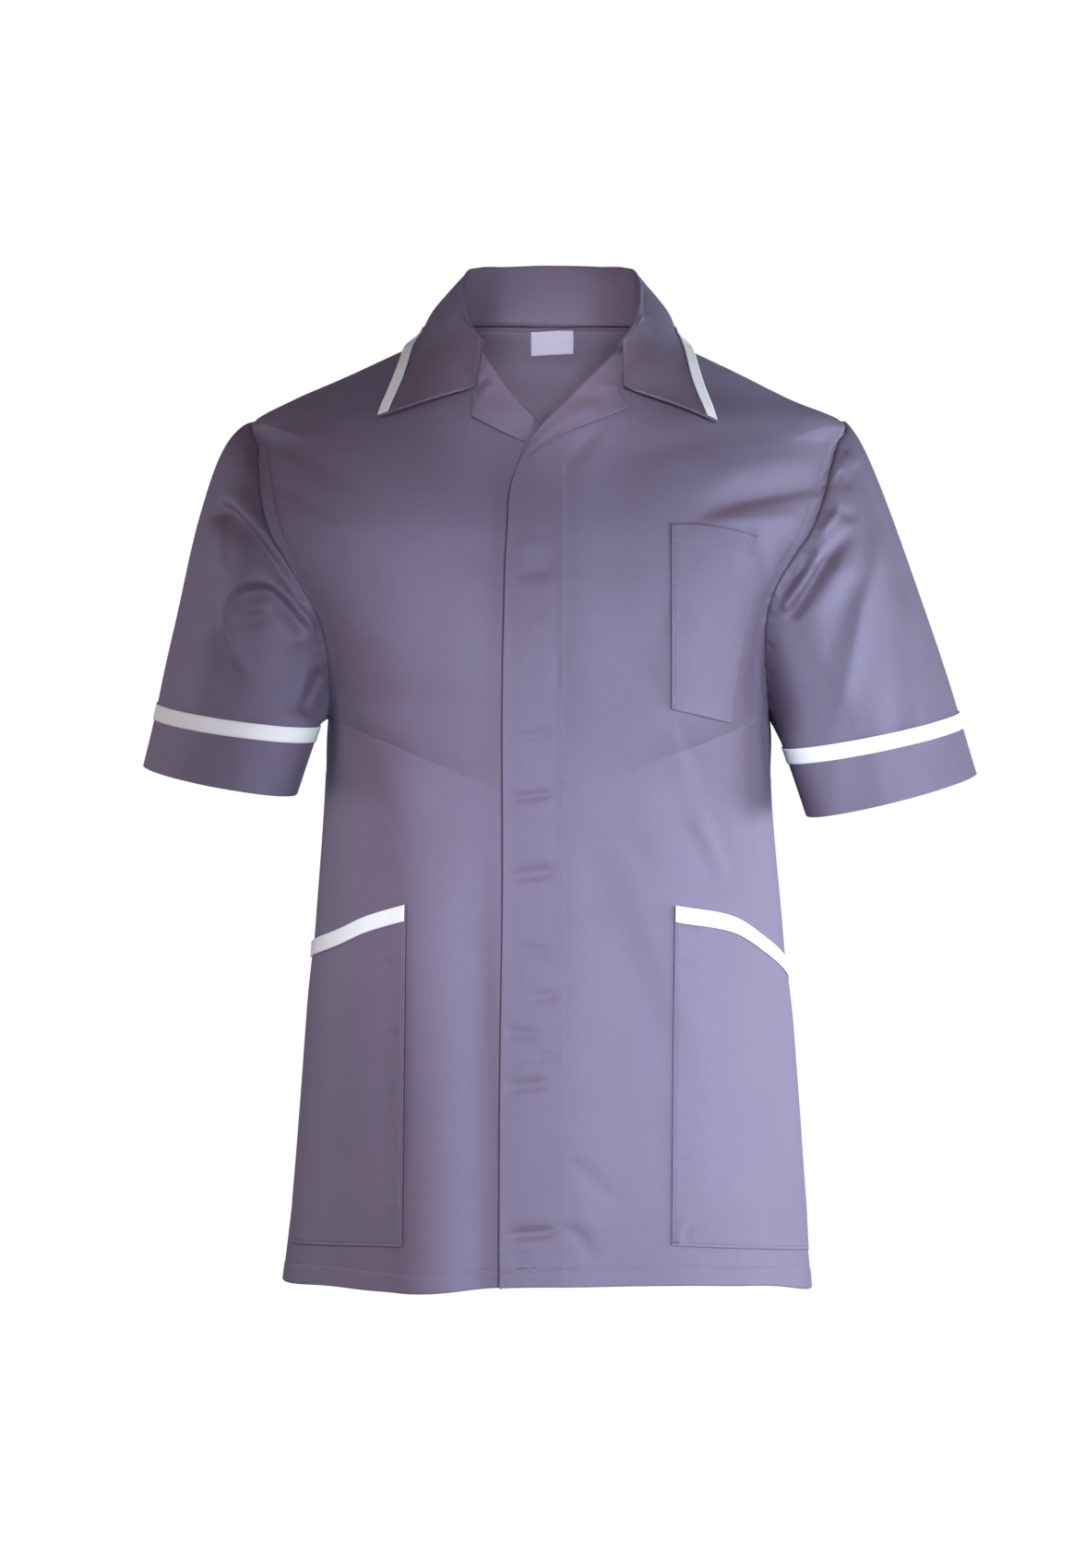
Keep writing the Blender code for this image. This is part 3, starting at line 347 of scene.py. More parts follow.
TUCK_IN = 0.02
BAND_RISE_IN = 0.0435
BAND_RISE_OUT = 0.038
BAND_WIDTH = 0.0125

# The sleeves' folds, on their fronts and on their backs
SLEEVE_FOLDS = {
    (-1, -1): (
        Fold(((-260, -129), (-247, -138), (-228, -157), (-214, -172), (-199, -188), (-184, -211),
              (-180, -221)), 3.2, 13, -6.5, 0.1, 0.12),
        Fold(((-256, -119), (-241, -131), (-221, -151), (-204, -170), (-188, -192)), 10, 4, 2.6, 0.3, 0.25),
        Fold(((-216, -190), (-200, -205), (-188, -218), (-177, -235)), 8, 4, 3.4, 0.35, 0.12),
        Fold(((-247, -242), (-249.5, -222), (-247, -207), (-238, -196.5), (-226, -191.5), (-214, -191)),
             12, 4, 3.4, 0.3, 0.3),
        Fold(((-240, -210), (-230, -201.5), (-219, -200), (-208, -208), (-196, -221), (-184, -236)),
             4, 9, -5.2, 0.25, 0.2),
        Fold(((-226, -214), (-222, -232)), 12, 12, -2.4, 0.3, 0.6),
        Fold(((-248, -206), (-247.5, -228), (-244, -246), (-237, -270)), 9, 5, 3.4, 0.25, 0.35),
        Fold(((-254, -184), (-253.5, -210), (-251, -235), (-246, -253), (-237, -274), (-232, -290)),
             4.5, 9, -3.2, 0.35, 0.35),
        Fold(((-258, -138), (-255, -160), (-253, -192)), 5, 12, 1.8, 0.15, 0.3),
        Fold(((-174, -262), (-189, -298)), 3, 5, -3.4, 0.15, 0.2),
        Fold(((-252, -280), (-253, -306)), 5, 5, -0.6, 0.5, 0.2),
        Fold(((-190, -232), (-197, -300)), 12, 12, -3, 0.3, 0.2),
        Fold(((-232, -296), (-229, -370)), 18, 18, 2.2, 0.2, 0.05),
        Fold(((-262, -230), (-272, -330)), 14, 16, 1.6, 0.3, 0.2),
        Fold(((-225, -92), (-240, -112)), 6, 8, 1.2, 0.3, 0.5),
    ),
    (-1, 1): (
        Fold(((-240, -120), (-214, -160), (-192, -214)), 9, 9, -4.5, 0.2, 0.2),
        Fold(((-262, -170), (-232, -214), (-206, -262)), 10, 9, 3.4, 0.25, 0.35),
        Fold(((-272, -212), (-252, -262), (-238, -310)), 9, 12, -2.8, 0.3, 0.3),
        Fold(((-226, -250), (-232, -330)), 12, 12, 2.2, 0.3, 0.1),
    ),
    (1, -1): (
        Fold(((239, -147), (216, -174), (196, -205), (182, -223)), 7, 5, -4.6, 0.3, 0.1),
        Fold(((204, -177), (189, -188), (176, -204)), 5, 5, -3.5, 0.2, 0.1),
        Fold(((210, -165), (192, -198), (179, -218)), 4.5, 4, 3.2, 0.25, 0.1),
        Fold(((230, -170), (206, -206), (189, -236)), 14, 6, 3, 0.3, 0.3),
        Fold(((250, -140), (252, -177), (241, -216), (230, -261), (221, -310)), 9, 7, 2.6, 0.25, 0.25),
        Fold(((237, -178), (229, -215), (217, -262)), 7, 8, -2.2, 0.3, 0.3),
        Fold(((271, -186), (283, -261), (292, -325)), 9, 9, 1.9, 0.3, 0.2),
        Fold(((262, -200), (268, -262), (272, -330)), 9, 9, -1.4, 0.3, 0.2),
        Fold(((222, -108), (238, -121)), 6, 6, -1.6, 0.2, 0.5),
        Fold(((221, -138), (241, -144)), 5, 5, -1.6, 0.2, 0.5),
        Fold(((228, -134), (206, -158)), 4, 4, 1.6, 0.3, 0.2),
        Fold(((228, -92), (240, -104)), 7, 7, 1.2, 0.3, 0.4),
        Fold(((214, -290), (222, -390)), 10, 12, 1.6, 0.3, 0.05),
    ),
    (1, 1): (
        Fold(((244, -124), (216, -166), (194, -220)), 9, 9, -4.2, 0.2, 0.2),
        Fold(((268, -178), (238, -220), (210, -268)), 9, 10, 3.2, 0.25, 0.35),
        Fold(((282, -220), (262, -270), (246, -330)), 12, 9, -2.6, 0.3, 0.3),
        Fold(((232, -262), (242, -350)), 12, 12, 2, 0.3, 0.1),
    ),
}

# Half the collar: the neck seam, the inner top of the roll, and the outer edge. Its front end is
# shaped from TIP_SHARE of the way to the tip.
CollarRow = namedtuple("CollarRow", "share nx ny nz rx ry rz ex ey ez")
COLLAR = (
    CollarRow(-0.2, -0.036, 0.0555, 0.0135, -0.036, 0.06, 0.0592, -0.05, 0.0735, -0.007),
    CollarRow(0.0, 0.0, 0.0625, 0.0135, 0.0, 0.065, 0.0606, 0.0, 0.079, -0.006),
    CollarRow(0.2, 0.036, 0.0555, 0.0135, 0.036, 0.06, 0.0592, 0.05, 0.0735, -0.007),
    CollarRow(0.35, 0.057, 0.039, 0.0118, 0.057, 0.043, 0.0568, 0.078, 0.0575, -0.0058),
    CollarRow(0.4, 0.064, 0.032, 0.011, 0.0635, 0.037, 0.0545, 0.085, 0.05, -0.005),
    CollarRow(0.45, 0.07, 0.023, 0.0092, 0.0668, 0.028, 0.0465, 0.0905, 0.04, -0.0028),
    CollarRow(0.55, 0.077, 0.005, 0.005, 0.0672, 0.009, 0.031, 0.098, 0.019, 0.001),
    CollarRow(0.7, 0.0745, -0.026, 0.001, 0.0645, -0.0235, 0.012, 0.1068, -0.014, -0.0062),
    CollarRow(0.85, 0.064, -0.051, -0.007, 0.0592, -0.052, 0.0004, 0.1172, -0.0602, -0.0308),
    CollarRow(1.00, 0.0535, -0.064, -0.015, 0.052, -0.066, -0.011, 0.1308, -0.083, -0.068),
)
COLLAR_SHIFT = 0.002
TIP_SHARE = 0.7
TIP_IN = {-1: 0.0, 1: 0.0035}
TIP_DROP = {-1: 0.0, 1: -0.0045}
GORGE_END = (0.0558, -0.0885, -0.0475)
GORGE_SHARE = 0.3
ROLL_WIDTH = 0.0036
ROLL_RISE = 0.0018
FALL_BULGE = 0.0022
SIDE_BULGE = 0.0095
SIDE_SHARE = (0.47, 0.15)
FALL_BULGE_UP = 0.6
COLLAR_LIFT = 0.0038
COLLAR_END_LIFT = 0.005
END_SHARE = 0.75
END_START, END_GROW, END_HALF = -0.04, 0.16, 0.5
COLLAR_TURN = 0.006
COLLAR_LENGTH = 0.24
FALL_LENGTH = 0.08
COLLAR_SWAY = (0.0005, 0.05)
CREASED_RADIUS = 0.0002
FULL_SHARE = 0.08
COLLAR_TAPE_WIDTH = 0.0085
CLEARING_STEPS = 5
CLEARING_STEP = 0.0001
CLEARING_MOST = 0.006
CLEARING_TOP = (0.006, 0.016)
CLEARING_SHARE = 1.15
CLEARING_BLURS = 50

# The lapels: rows from the collar down to the break, each from the roll line to the outer edge
LapelRow = namedtuple("LapelRow", "roll_x roll_z outer_x outer_z")
LAPELS = {
    -1: (
        LapelRow(-0.052, -0.0185, -0.056, -0.049),
        LapelRow(-0.0436, -0.0308, -0.0593, -0.0671),
        LapelRow(-0.033, -0.0464, -0.0438, -0.0758),
        LapelRow(-0.0206, -0.0612, -0.0276, -0.0838),
        LapelRow(-0.011, -0.0716, -0.016, -0.0895),
    ),
    1: (
        LapelRow(0.053, -0.0175, 0.0538, -0.049),
        LapelRow(0.044, -0.0265, 0.0603, -0.06),
        LapelRow(0.0245, -0.0463, 0.0412, -0.0695),
        LapelRow(0.0096, -0.0616, 0.02, -0.0775),
        LapelRow(-0.0042, -0.0757, 0.004, -0.0845),
        LapelRow(-0.015, -0.089, -0.0125, -0.0962),
        LapelRow(-0.0205, -0.0985, -0.0205, -0.1028),
    ),
}
LAPEL_FOLDS = {
    -1: (
        Fold(((-46, -34), (-53, -45), (-58, -55)), 3, 4, -1.4, 0.4, 0.3),
        Fold(((-44, -40), (-50, -52)), 3, 4, 0.9, 0.4, 0.3),
    ),
    1: (
        Fold(((20, -56), (44, -54)), 6, 6, -0.8),
        Fold(((34, -40), (52, -48)), 5, 5, 0.6),
    ),
}
LAPEL_COLUMNS = 30
LAPEL_ROWS = 56
LAPEL_LIFT = 0.0022
LAPEL_FACING = 0.35
LAPEL_EDGE_LIFT = 0.0026
LAPEL_TURN = 0.005
LAPEL_EDGE_RADIUS = 0.0008
LAPEL_WIDTH = 0.03
LAPEL_BULGE = 0.001
LAPEL_HELD = (0.6, 0.4)

# The pockets. A hip pocket runs from its front edge to the side seam, with a sloping mouth
HipPocket = namedtuple("HipPocket", "front_top front_bottom top bottom side_bottom turn_bottom mouth")
HIP_POCKETS = {
    -1: HipPocket(0.1084, 0.1106, -0.441, -0.6988, -0.704, 0.88,
                  ((0.0, 0.0), (0.27, 0.0088), (0.51, 0.0188), (1.0, 0.0305))),
    1: HipPocket(0.0948, 0.0919, -0.4414, -0.6975, -0.711, 0.93,
                 ((0.0, 0.0), (0.4, 0.011), (0.6, 0.024), (1.0, 0.0465))),
}
HIP_FOLDS = {
    -1: (
        Fold(((-116, -486), (-128, -486)), 3, 3, -0.9, 0.1, 0.6),
        Fold(((-113, -540), (-126, -541)), 2.5, 3, -0.8, 0.1, 0.6),
        Fold(((-114, -668), (-127, -668)), 2, 2, 0.7, 0.1, 0.6),
        Fold(((-134, -560), (-140, -650)), 9, 9, 1.4),
    ),
    1: (
        Fold(((97, -459), (116, -459)), 2.5, 2.5, -1.4, 0.1, 0.5),
        Fold(((96, -487), (112, -489)), 3, 3, -0.8, 0.1, 0.6),
        Fold(((95, -634), (110, -636)), 2.5, 2.5, -0.7, 0.1, 0.6),
        Fold(((94, -697), (101, -684), (106, -672)), 3.5, 2.5, 1.3, 0.15, 0.3),
        Fold(((101, -696), (108, -684)), 3, 3, -0.8, 0.15, 0.3),
    ),
}
HIP_COLUMNS = 56
HIP_ROWS = 90
SIDE_TURN = 0.93
TAPE_WIDTH = 0.0125
TAPE_ROWS = 8
CHEST_POCKET = {
    "top_front": (0.0924, -0.1512),
    "top_side": (0.159, -0.1594),
    "bottom_front": (0.0923, -0.2925),
    "bottom_side": (0.1371, -0.3026),
}
CHEST_FOLDS = (
    Fold(((93, -228), (104, -229), (118, -227)), 4, 4, -0.9, 0.15, 0.5),
    Fold(((94, -286), (101, -288)), 2.5, 2.5, -0.8, 0.1, 0.5),
    Fold(((96, -291), (112, -296)), 2.5, 2.5, -0.9, 0.15, 0.4),
    Fold(((120, -220), (127, -262)), 5, 6, -0.9),
    Fold(((100, -178), (118, -180)), 5, 5, -0.6, 0.3, 0.4),
)
CHEST_MOUTH_RISE = 0.003
CHEST_COLUMNS = 36
CHEST_ROWS = 70
CHEST_HEM = 0.013
CHEST_WIDTH = 0.06
CHEST_DEPTH = 0.142
HIP_WIDTH = 0.12
HIP_DEPTH = 0.26
TACK_REACH = 0.008
POCKET_EASE = 0.0006
EDGE_STITCH = 0.0018
POCKET_GROOVE = Ridge(-0.0004, EDGE_STITCH, 0.0008)
POCKET_PUCKER = Pucker(0.0003, 0.01, 0.0, 0.006)
HIP_BELLY = 0.0012
HIP_BELLY_REACH = (0.03, 0.04, 0.05)
CHEST_BELLY = 0.001
CHEST_BELLY_REACH = (0.02, 0.03)
CHEST_HEM_GROOVE = Ridge(-0.0003, CHEST_HEM, 0.0008)
CHEST_HEM_LAYER = 0.0004
CHEST_HEM_STEP = 0.002
TRIM_GAP = 0.0004

# The label inside the back's neck
LABEL_X = (-0.0143, 0.0196)
LABEL_Z = (0.0095, -0.0085)
LABEL_TILT = 0.05
LABEL_SHEAR = 0.005
LABEL_CELLS = (24, 18)
LABEL_CURL = 0.0012
LABEL_WAVE = 0.0004
LABEL_WAVES = (5, 2)

# Threads
STITCH_PITCH = 0.0031
STITCH_LENGTH = 0.0025
THREAD_RADIUS = 0.00022
OVERLOCK_WIDTH = 0.003
NECK_SEAM_REACH = 0.066
NECK_SEAM_ROWS = (0.75, 1.6)
OVERLOCK_PITCH = 0.0011
STAND_STITCH_ROW = 1.9
STAND_STITCH_INSET = 24
TOP_STITCH_INSET = 0.3
STITCH_RINGS = ((0.0, 0.3, -0.9), (0.3, 1.0, 0.35), (0.7, 1.0, 0.35), (1.0, 0.3, -0.9))
STITCH_SIDES = 5
LINE_STEPS = 240
TAPE_STITCH_ROWS = (0.9, 7.1)
TACK_WIDTH = 0.0022
TACK_PITCH = 0.0006
FLY_STITCH_TOP = -0.113
FLY_TACK = (-0.115, -0.1045)

# An uneven ripple is these sine waves, each with its share of the pitch and its size. A slow swell
# is so many waves, each a random number of pitches long. SEED holds the random draws' first values.
WAVES = ((1.0, 0.5), (0.62, 0.3), (1.73, 0.4), (0.41, 0.15))
SWAY_WAVES = 7
SWAY_LENGTHS = (0.7, 1.8)
SWAY_SLANT = 0.7
SEED = {
    "hem": 3, "fly": 5, "panel": 7, "front": 11, "back": 21, "sleeve": 31, "head": 41, "sleeve_hem": 51,
    "collar": 61, "hip": 71, "chest": 81,
}
TINY = 1e-12
BACKWARDS = np.array([0.0, 1.0, 0.0])
UP = np.array([0.0, 0.0, 1.0])

# The studio
FLOOR_Z = -2.6
FLOOR_RADIUS = 14
FLOOR_SIDES = 96
FLOOR_ROUGHNESS = 0.9
FLOOR_COLOUR = (0.9, 0.9, 0.9, 1)
FLOOR_GLOW = 1.2
SEEN_COLOUR = (1, 1, 1, 1)
ROOM_COLOUR = (1.0, 0.88, 0.89, 1)
ROOM_STRENGTH = 0.09
CAMERA_PLACE = (-0.0097, -4.0, -0.349)
CAMERA_LENS = 117.6
CAMERA_REACH = 60


def column(table, name):
    """One named column of a table, as an array."""
    return np.array([getattr(row, name) for row in table], float)


def unit(ways):
    """The directions, each made 1 long."""
    return ways / np.maximum(np.linalg.norm(ways, axis=-1, keepdims=True), TINY)


def mixed(a, b, t):
    """The straight way from a, at t = 0, to b, at t = 1."""
    return a * (1 - t) + b * t


def cubic(start, leaving, end, meeting, t, length=1.0):
    """The cubic curve from start, at t = 0, to end, at t = 1. leaving and meeting are its slopes at
    its ends, over that length."""
    first = (1 + 2 * t) * (1 - t) ** 2 * start + t * (1 - t) ** 2 * length * leaving
    return first + (t * t * (3 - 2 * t) * end + t * t * (t - 1) * length * meeting)


def smooth(knots, values, at):
    """A smooth curve through (knots, values), read at the places at: cubic pieces between the knots,
    each knot's slope that of its neighbours."""
    knots = np.asarray(knots, float)
    values = np.asarray(values, float)
    at = np.clip(at, knots[0], knots[-1])
    slopes = np.gradient(values, knots)
    i = np.clip(np.searchsorted(knots, at) - 1, 0, len(knots) - 2)
    gap = knots[i + 1] - knots[i]
    return cubic(values[i], slopes[i], values[i + 1], slopes[i + 1], (at - knots[i]) / gap, gap)


def ease(t):
    """0 below 0, 1 above 1, and a soft step between."""
    t = np.clip(t, 0, 1)
    return t * t * (3 - 2 * t)


def bell(t):
    """A bell-shaped hump, 1 in the middle and near 0 from 2 on."""
    return np.exp(-t * t)


def wave(s, pitch, seed):
    """An uneven ripple along s of about that pitch: sine waves of unlike lengths."""
    rng = np.random.default_rng(seed)
    total = np.zeros(np.shape(s))
    for ratio, size in WAVES:
        total = total + size * np.sin(2 * math.pi * s / (pitch * ratio) + rng.uniform(0, 2 * math.pi))
    return total


def sway(x, z, pitch, seed):
    """A slow uneven swell over (x, z): sine waves that run in unlike directions."""
    rng = np.random.default_rng(seed)
    total = np.zeros(np.shape(x))
    for _ in range(SWAY_WAVES):
        angle = rng.uniform(0, math.pi)
        length = pitch * rng.uniform(*SWAY_LENGTHS)
        run = (x * math.cos(angle) + z * math.sin(angle) * SWAY_SLANT) / length
        total = total + np.sin(2 * math.pi * run + rng.uniform(0, 2 * math.pi)) / SWAY_WAVES
    return total


def relief(off, ridges):
    """The ridges and grooves at that distance from a line: the sum of their bell-shaped humps."""
    return sum(ridge.height * bell((off - ridge.at) / ridge.half) for ridge in ridges)


def puckered(pucker, along, off, seed):
    """Ripples along a line of stitching, strongest at one distance from it."""
    return pucker.height * wave(along, pucker.pitch, seed) * bell((off - pucker.at) / pucker.half)


def runs_along(path):
    """How far each point is along a path."""
    return np.concatenate([[0], np.cumsum(np.linalg.norm(np.diff(path, axis=0), axis=1))])


def fold_line(points):
    """A smooth line through a fold's points, as FOLD_STEPS short straight steps."""
    points = np.array(points, float) * MM
    knots = runs_along(points)
    at = np.linspace(0, knots[-1], FOLD_STEPS + 1)
    if len(points) == 2:
        return np.stack([np.interp(at, knots, points[:, i]) for i in (0, 1)], -1)
    return np.stack([smooth(knots, points[:, i], at) for i in (0, 1)], -1)


def fold_field(folds, x, z):
    """How far the folds stand out at (x, z). Each has a bell-shaped section across its line, of one
    half width on its left and another on its right, and grows and fades along it."""
    lift = np.zeros(np.shape(x))
    for fold in folds:
        line = fold_line(fold.line)
        margin = 3 * MM * max(fold.left, fold.right)
        low, high = line.min(0) - margin, line.max(0) + margin
        near = (x > low[0]) & (x < high[0]) & (z > low[1]) & (z < high[1])
        if not near.any():
            continue
        start, run = line[:-1], np.diff(line, axis=0)
        px = x[near][:, None] - start[:, 0]
        pz = z[near][:, None] - start[:, 1]
        t = np.clip((px * run[:, 0] + pz * run[:, 1]) / (run ** 2).sum(1), 0, 1)
        square = (px - t * run[:, 0]) ** 2 + (pz - t * run[:, 1]) ** 2
        best = square.argmin(1)
        pick = np.arange(len(best))
        turn = run[best, 0] * pz[pick, best] - run[best, 1] * px[pick, best]
        half = np.where(turn > 0, fold.left, fold.right) * MM
        along = (best + t[pick, best]) / FOLD_STEPS
        strength = ease(along / fold.grow) * ease((1 - along) / fold.fade)
        lift[near] += fold.depth * MM * strength * bell(np.sqrt(square[pick, best]) / half)
    return lift


def section_rows(face):
    """(height, right edge, left edge, edge depth, middle depth, squareness) of the trunk's sections,
    from the hem to the neck. face is -1 for the front and 1 for the back."""
    rows = [(s.height, s.right, s.left, 0.0, s.front if face < 0 else s.back, s.square) for s in TRUNK]
    for a in ARMHOLES:
        edges = (a.front_right, a.front_left, a.front_y, a.front_depth)
        if face > 0:
            edges = (a.back, a.back, a.back_y, a.back_depth)
        rows.append((a.height, *edges, ARMHOLE_SQUARE))
    for s in SHOULDERS:
        rows.append((s.height, s.right, s.left, 0.0, s.front if face < 0 else s.back, SHOULDER_SQUARE))
    return np.array(rows)


EDGE = {-1: 1, 1: 2}
EDGE_DEPTH, DEPTH, SQUARE = 3, 4, 5
SECTIONS = {face: section_rows(face) for face in (-1, 1)}
FACE = {"front_right": -1, "front_left": -1, "back": 1}


def section_at(face, value, z):
    """One of the face's values at height z, on a smooth curve through its sections."""
    rows = SECTIONS[face]
    return smooth(rows[:, 0], rows[:, value], z)


def reach(face, side, z):
    """The half width that the section would have at y = 0, so that it passes through the edge."""
    rows = SECTIONS[face]
    full = rows[:, EDGE[side]] / (1 - (rows[:, EDGE_DEPTH] / rows[:, DEPTH]) ** 2) ** (1 / rows[:, SQUARE])
    return smooth(rows[:, 0], full, z)


def half_width(face, x, z):
    """The section's half width at height z, on the side where x is."""
    return np.where(x < 0, reach(face, -1, z), reach(face, 1, z))


def trunk(panel_name, x, z):
    """A trunk panel's outer face at (x, z) in the front view: the section at height z is
    |x / reach| ^ square + |y / depth| ^ 2 = 1, and the panel's folds and swell stand out from it."""
    face = FACE[panel_name]
    x, z = (a.copy() for a in np.broadcast_arrays(np.asarray(x, float), np.asarray(z, float)))
    share = np.clip(1 - np.abs(x / half_width(face, x, z)) ** section_at(face, SQUARE, z), 0, 1)
    folds = fold_field(FOLDS[panel_name], x, z) + SWELL * sway(x, z, SWELL_PITCH, face + SEED["panel"])
    y = section_at(face, DEPTH, z) * np.sqrt(share) + folds * np.sqrt(share)
    return np.stack([x, face * y, z], -1)


def normals(points, closed=False):
    """The unit normals of a grid of points, from the differences between neighbours."""
    if closed:
        across = np.roll(points, -1, 0) - np.roll(points, 1, 0)
    else:
        across = np.gradient(points, axis=0)
    return unit(np.cross(across, np.gradient(points, axis=1)))


def lifted(points, lift, closed=False):
    """The points moved out along their normals."""
    lift = np.asarray(lift)
    return points + normals(points, closed) * (lift[..., None] if lift.ndim else lift)


def arcs(points):
    """How far each point is along its own column's and row's lines, from the grid's first ones."""
    across = np.linalg.norm(np.diff(points, axis=0), axis=-1)
    along = np.linalg.norm(np.diff(points, axis=1), axis=-1)
    across = np.concatenate([np.zeros((1, points.shape[1])), np.cumsum(across, 0)])
    along = np.concatenate([np.zeros((points.shape[0], 1)), np.cumsum(along, 1)], 1)
    return across, along


def shares(count, length, lines=()):
    """Even shares from 0 to 1, with closer ones round each line, which is so far from the start."""
    extra = [line + sign * step for line in lines for step in (0.0, *EDGE_STEPS) for sign in (-1, 1)]
    places = np.concatenate([np.linspace(0, 1, count + 1), np.array(extra) / length])
    places = np.unique(np.round(places[(places >= 0) & (places <= 1)], 6))
    keep = np.concatenate([[True], np.diff(places) > CLOSEST / length])
    keep[-1] = True
    return places[keep]


def at_share(grid_shares, length, line):
    """The number of the grid's line that is so far from its start."""
    return int(np.abs(grid_shares - line / length).argmin())


def turned(points, depth, outward_side, radius=TURN_RADIUS):
    """The grid with its first column turned under: half a circle inwards round the edge, then back
    along the inner face for that depth. outward_side is the sign of the outward normal."""
    normal = normals(points)[0] * outward_side
    out = unit(points[0] - points[1])
    turn = (math.pi * np.arange(1, TURN_ROWS + 1) / TURN_ROWS)[:, None, None]
    centre = points[0] - normal * radius
    circle = centre + normal * radius * np.cos(turn) + out * radius * np.sin(turn)
    reach_in = np.cumsum(np.linalg.norm(np.diff(points, axis=0), axis=-1), 0).mean(1)
    last = int(np.searchsorted(reach_in, depth)) + 1
    picks = np.unique(np.linspace(1, last, UNDER_ROWS).astype(int))
    under = (points - normals(points) * outward_side * 2 * radius)[picks]
    return np.concatenate([under[::-1], circle[::-1], points])


def swapped(points):
    """The grid with its columns and rows exchanged."""
    return points.transpose(1, 0, 2)


# The trunk's panels


LOW_LENGTH = 0.4
LOW_SHARES = shares(LOW_ROWS, LOW_LENGTH, (0.0, HEM_LINE))
HEM_ROW = at_share(LOW_SHARES, LOW_LENGTH, HEM_LINE)
FLY_SHARES = shares(FLY_COLUMNS, FLY_WIDTH, (0.0, FLY_WIDTH))


def row_heights(middle, top_middle, top_outer, hem_middle, hem_outer):
    """The heights of a panel's rows in the middle and at the outer edge. The rows come in three
    lots: up to the underarm, up the armhole, and along the shoulder seam."""
    armhole = np.arange(1, ARMHOLE_ROWS + 1) / ARMHOLE_ROWS
    shoulder = np.arange(1, SHOULDER_ROWS + 1) / SHOULDER_ROWS
    round_share = (1 - np.cos(math.pi * armhole)) / 2
    middle_stops = (hem_middle, middle["underarm"], middle["shoulder"], top_middle)
    outer_stops = (hem_outer, UNDERARM, SHOULDER_POINT, top_outer)
    heights = []
    for stops, second in ((middle_stops, armhole), (outer_stops, round_share)):
        steps = (LOW_SHARES[1:], second, shoulder)
        lots_of_rows = [stops[i] + (stops[i + 1] - stops[i]) * steps[i] for i in range(3)]
        heights.append(np.concatenate([[stops[0]], *lots_of_rows]))
    return heights


def panel(name, side, middle_edge, neckline, middle, hem, columns, line_x=None):
    """Half a trunk panel, a grid of points by column and row. Each row is a straight line in the
    front view from the middle edge to the outer one, with its points closer where the trunk turns
    away, and the top rows bend to the neckline. A line of points runs at line_x."""
    face = FACE[name]
    ends = hem[0 if side < 0 else -1]
    tops = (neckline[0].height, NECK_POINT[1])
    inner_z, outer_z = row_heights(middle, *tops, middle_edge[0].height, ends.height)
    inner_x = smooth(column(middle_edge, "height"), column(middle_edge, "x"), inner_z)
    outer_x = side * section_at(face, EDGE[side], outer_z)
    outer_x[-1] = side * NECK_POINT[0]
    turn = np.arcsin(np.clip(np.abs(outer_x) / reach(face, side, outer_z), 0, 1))
    u = shares(columns, PANEL_WIDTH, (PANEL_WIDTH,))[:, None]
    share = np.sin(u * turn) / np.sin(turn)
    if line_x is not None:
        line_share = (line_x - inner_x) / (outer_x - inner_x)
        beyond = line_share + (1 - line_share) * share[1:]
        share = np.concatenate([FLY_SHARES[:, None] * line_share, beyond])
    x = inner_x + (outer_x - inner_x) * share
    z = inner_z + (outer_z - inner_z) * share
    # The neckline's bend from a straight row fades out over the rows of the shoulder.
    bend = smooth(side * column(neckline, "x"), column(neckline, "height"), side * x[:, -1]) - z[:, -1]
    low = np.concatenate([LOW_SHARES, np.ones(ARMHOLE_ROWS + SHOULDER_ROWS)])
    high = 1 - np.arange(len(low))[::-1] / (2 * SHOULDER_ROWS)
    z = z + bend[:, None] * ease(high)
    # The hem's curve fades out over the rows below the underarm.
    dip = smooth(column(hem, "x"), column(hem, "height"), x[:, :1]) - z[:, :1]
    z = z + dip * (1 - ease(low))
    return trunk(name, x, z)


def fly_lift(points):
    """The left front's points, standing off the right front where it laps over it."""
    lift = FLY_LIFT * (1 - ease((points[..., 0] - FLY_FULL) / (FLY_END - FLY_FULL)))
    return points - lift[..., None] * BACKWARDS


def seam_relief(points, seed):
    """The outer edge's relief on a trunk panel: the seam's groove, the swell of its turnings beside
    it, and the puckers where the sleeve is eased in."""
    across, along = arcs(points)
    off = across[-1] - across
    rows = np.arange(points.shape[1])
    first, last = len(LOW_SHARES) - 1, len(LOW_SHARES) - 1 + ARMHOLE_ROWS
    (start, start_rows), (end, end_rows) = ARMHOLE_FADES
    on_armhole = ease((rows - first + start) / start_rows) * ease((last + end - rows) / end_rows)
    pucker = puckered(ARMHOLE_PUCKER, along, off, seed) * ease(off / PUCKER_START)
    raised = relief(off, ARMHOLE_SEAM) + pucker
    return relief(off, PLAIN_SEAM) * (1 - on_armhole) + raised * on_armhole


def hem_relief(points):
    """The hem's relief: a groove along its stitching, the turned cloth below it, and puckers."""
    across, along = arcs(points)
    off = along - along[:, HEM_ROW:HEM_ROW + 1]
    layers = HEM_LAYER * (1 - ease((off - HEM_STEP[0]) / HEM_STEP[1]))
    return layers + relief(off, HEM_GROOVE) + puckered(HEM_PUCKER, across, off, SEED["hem"])


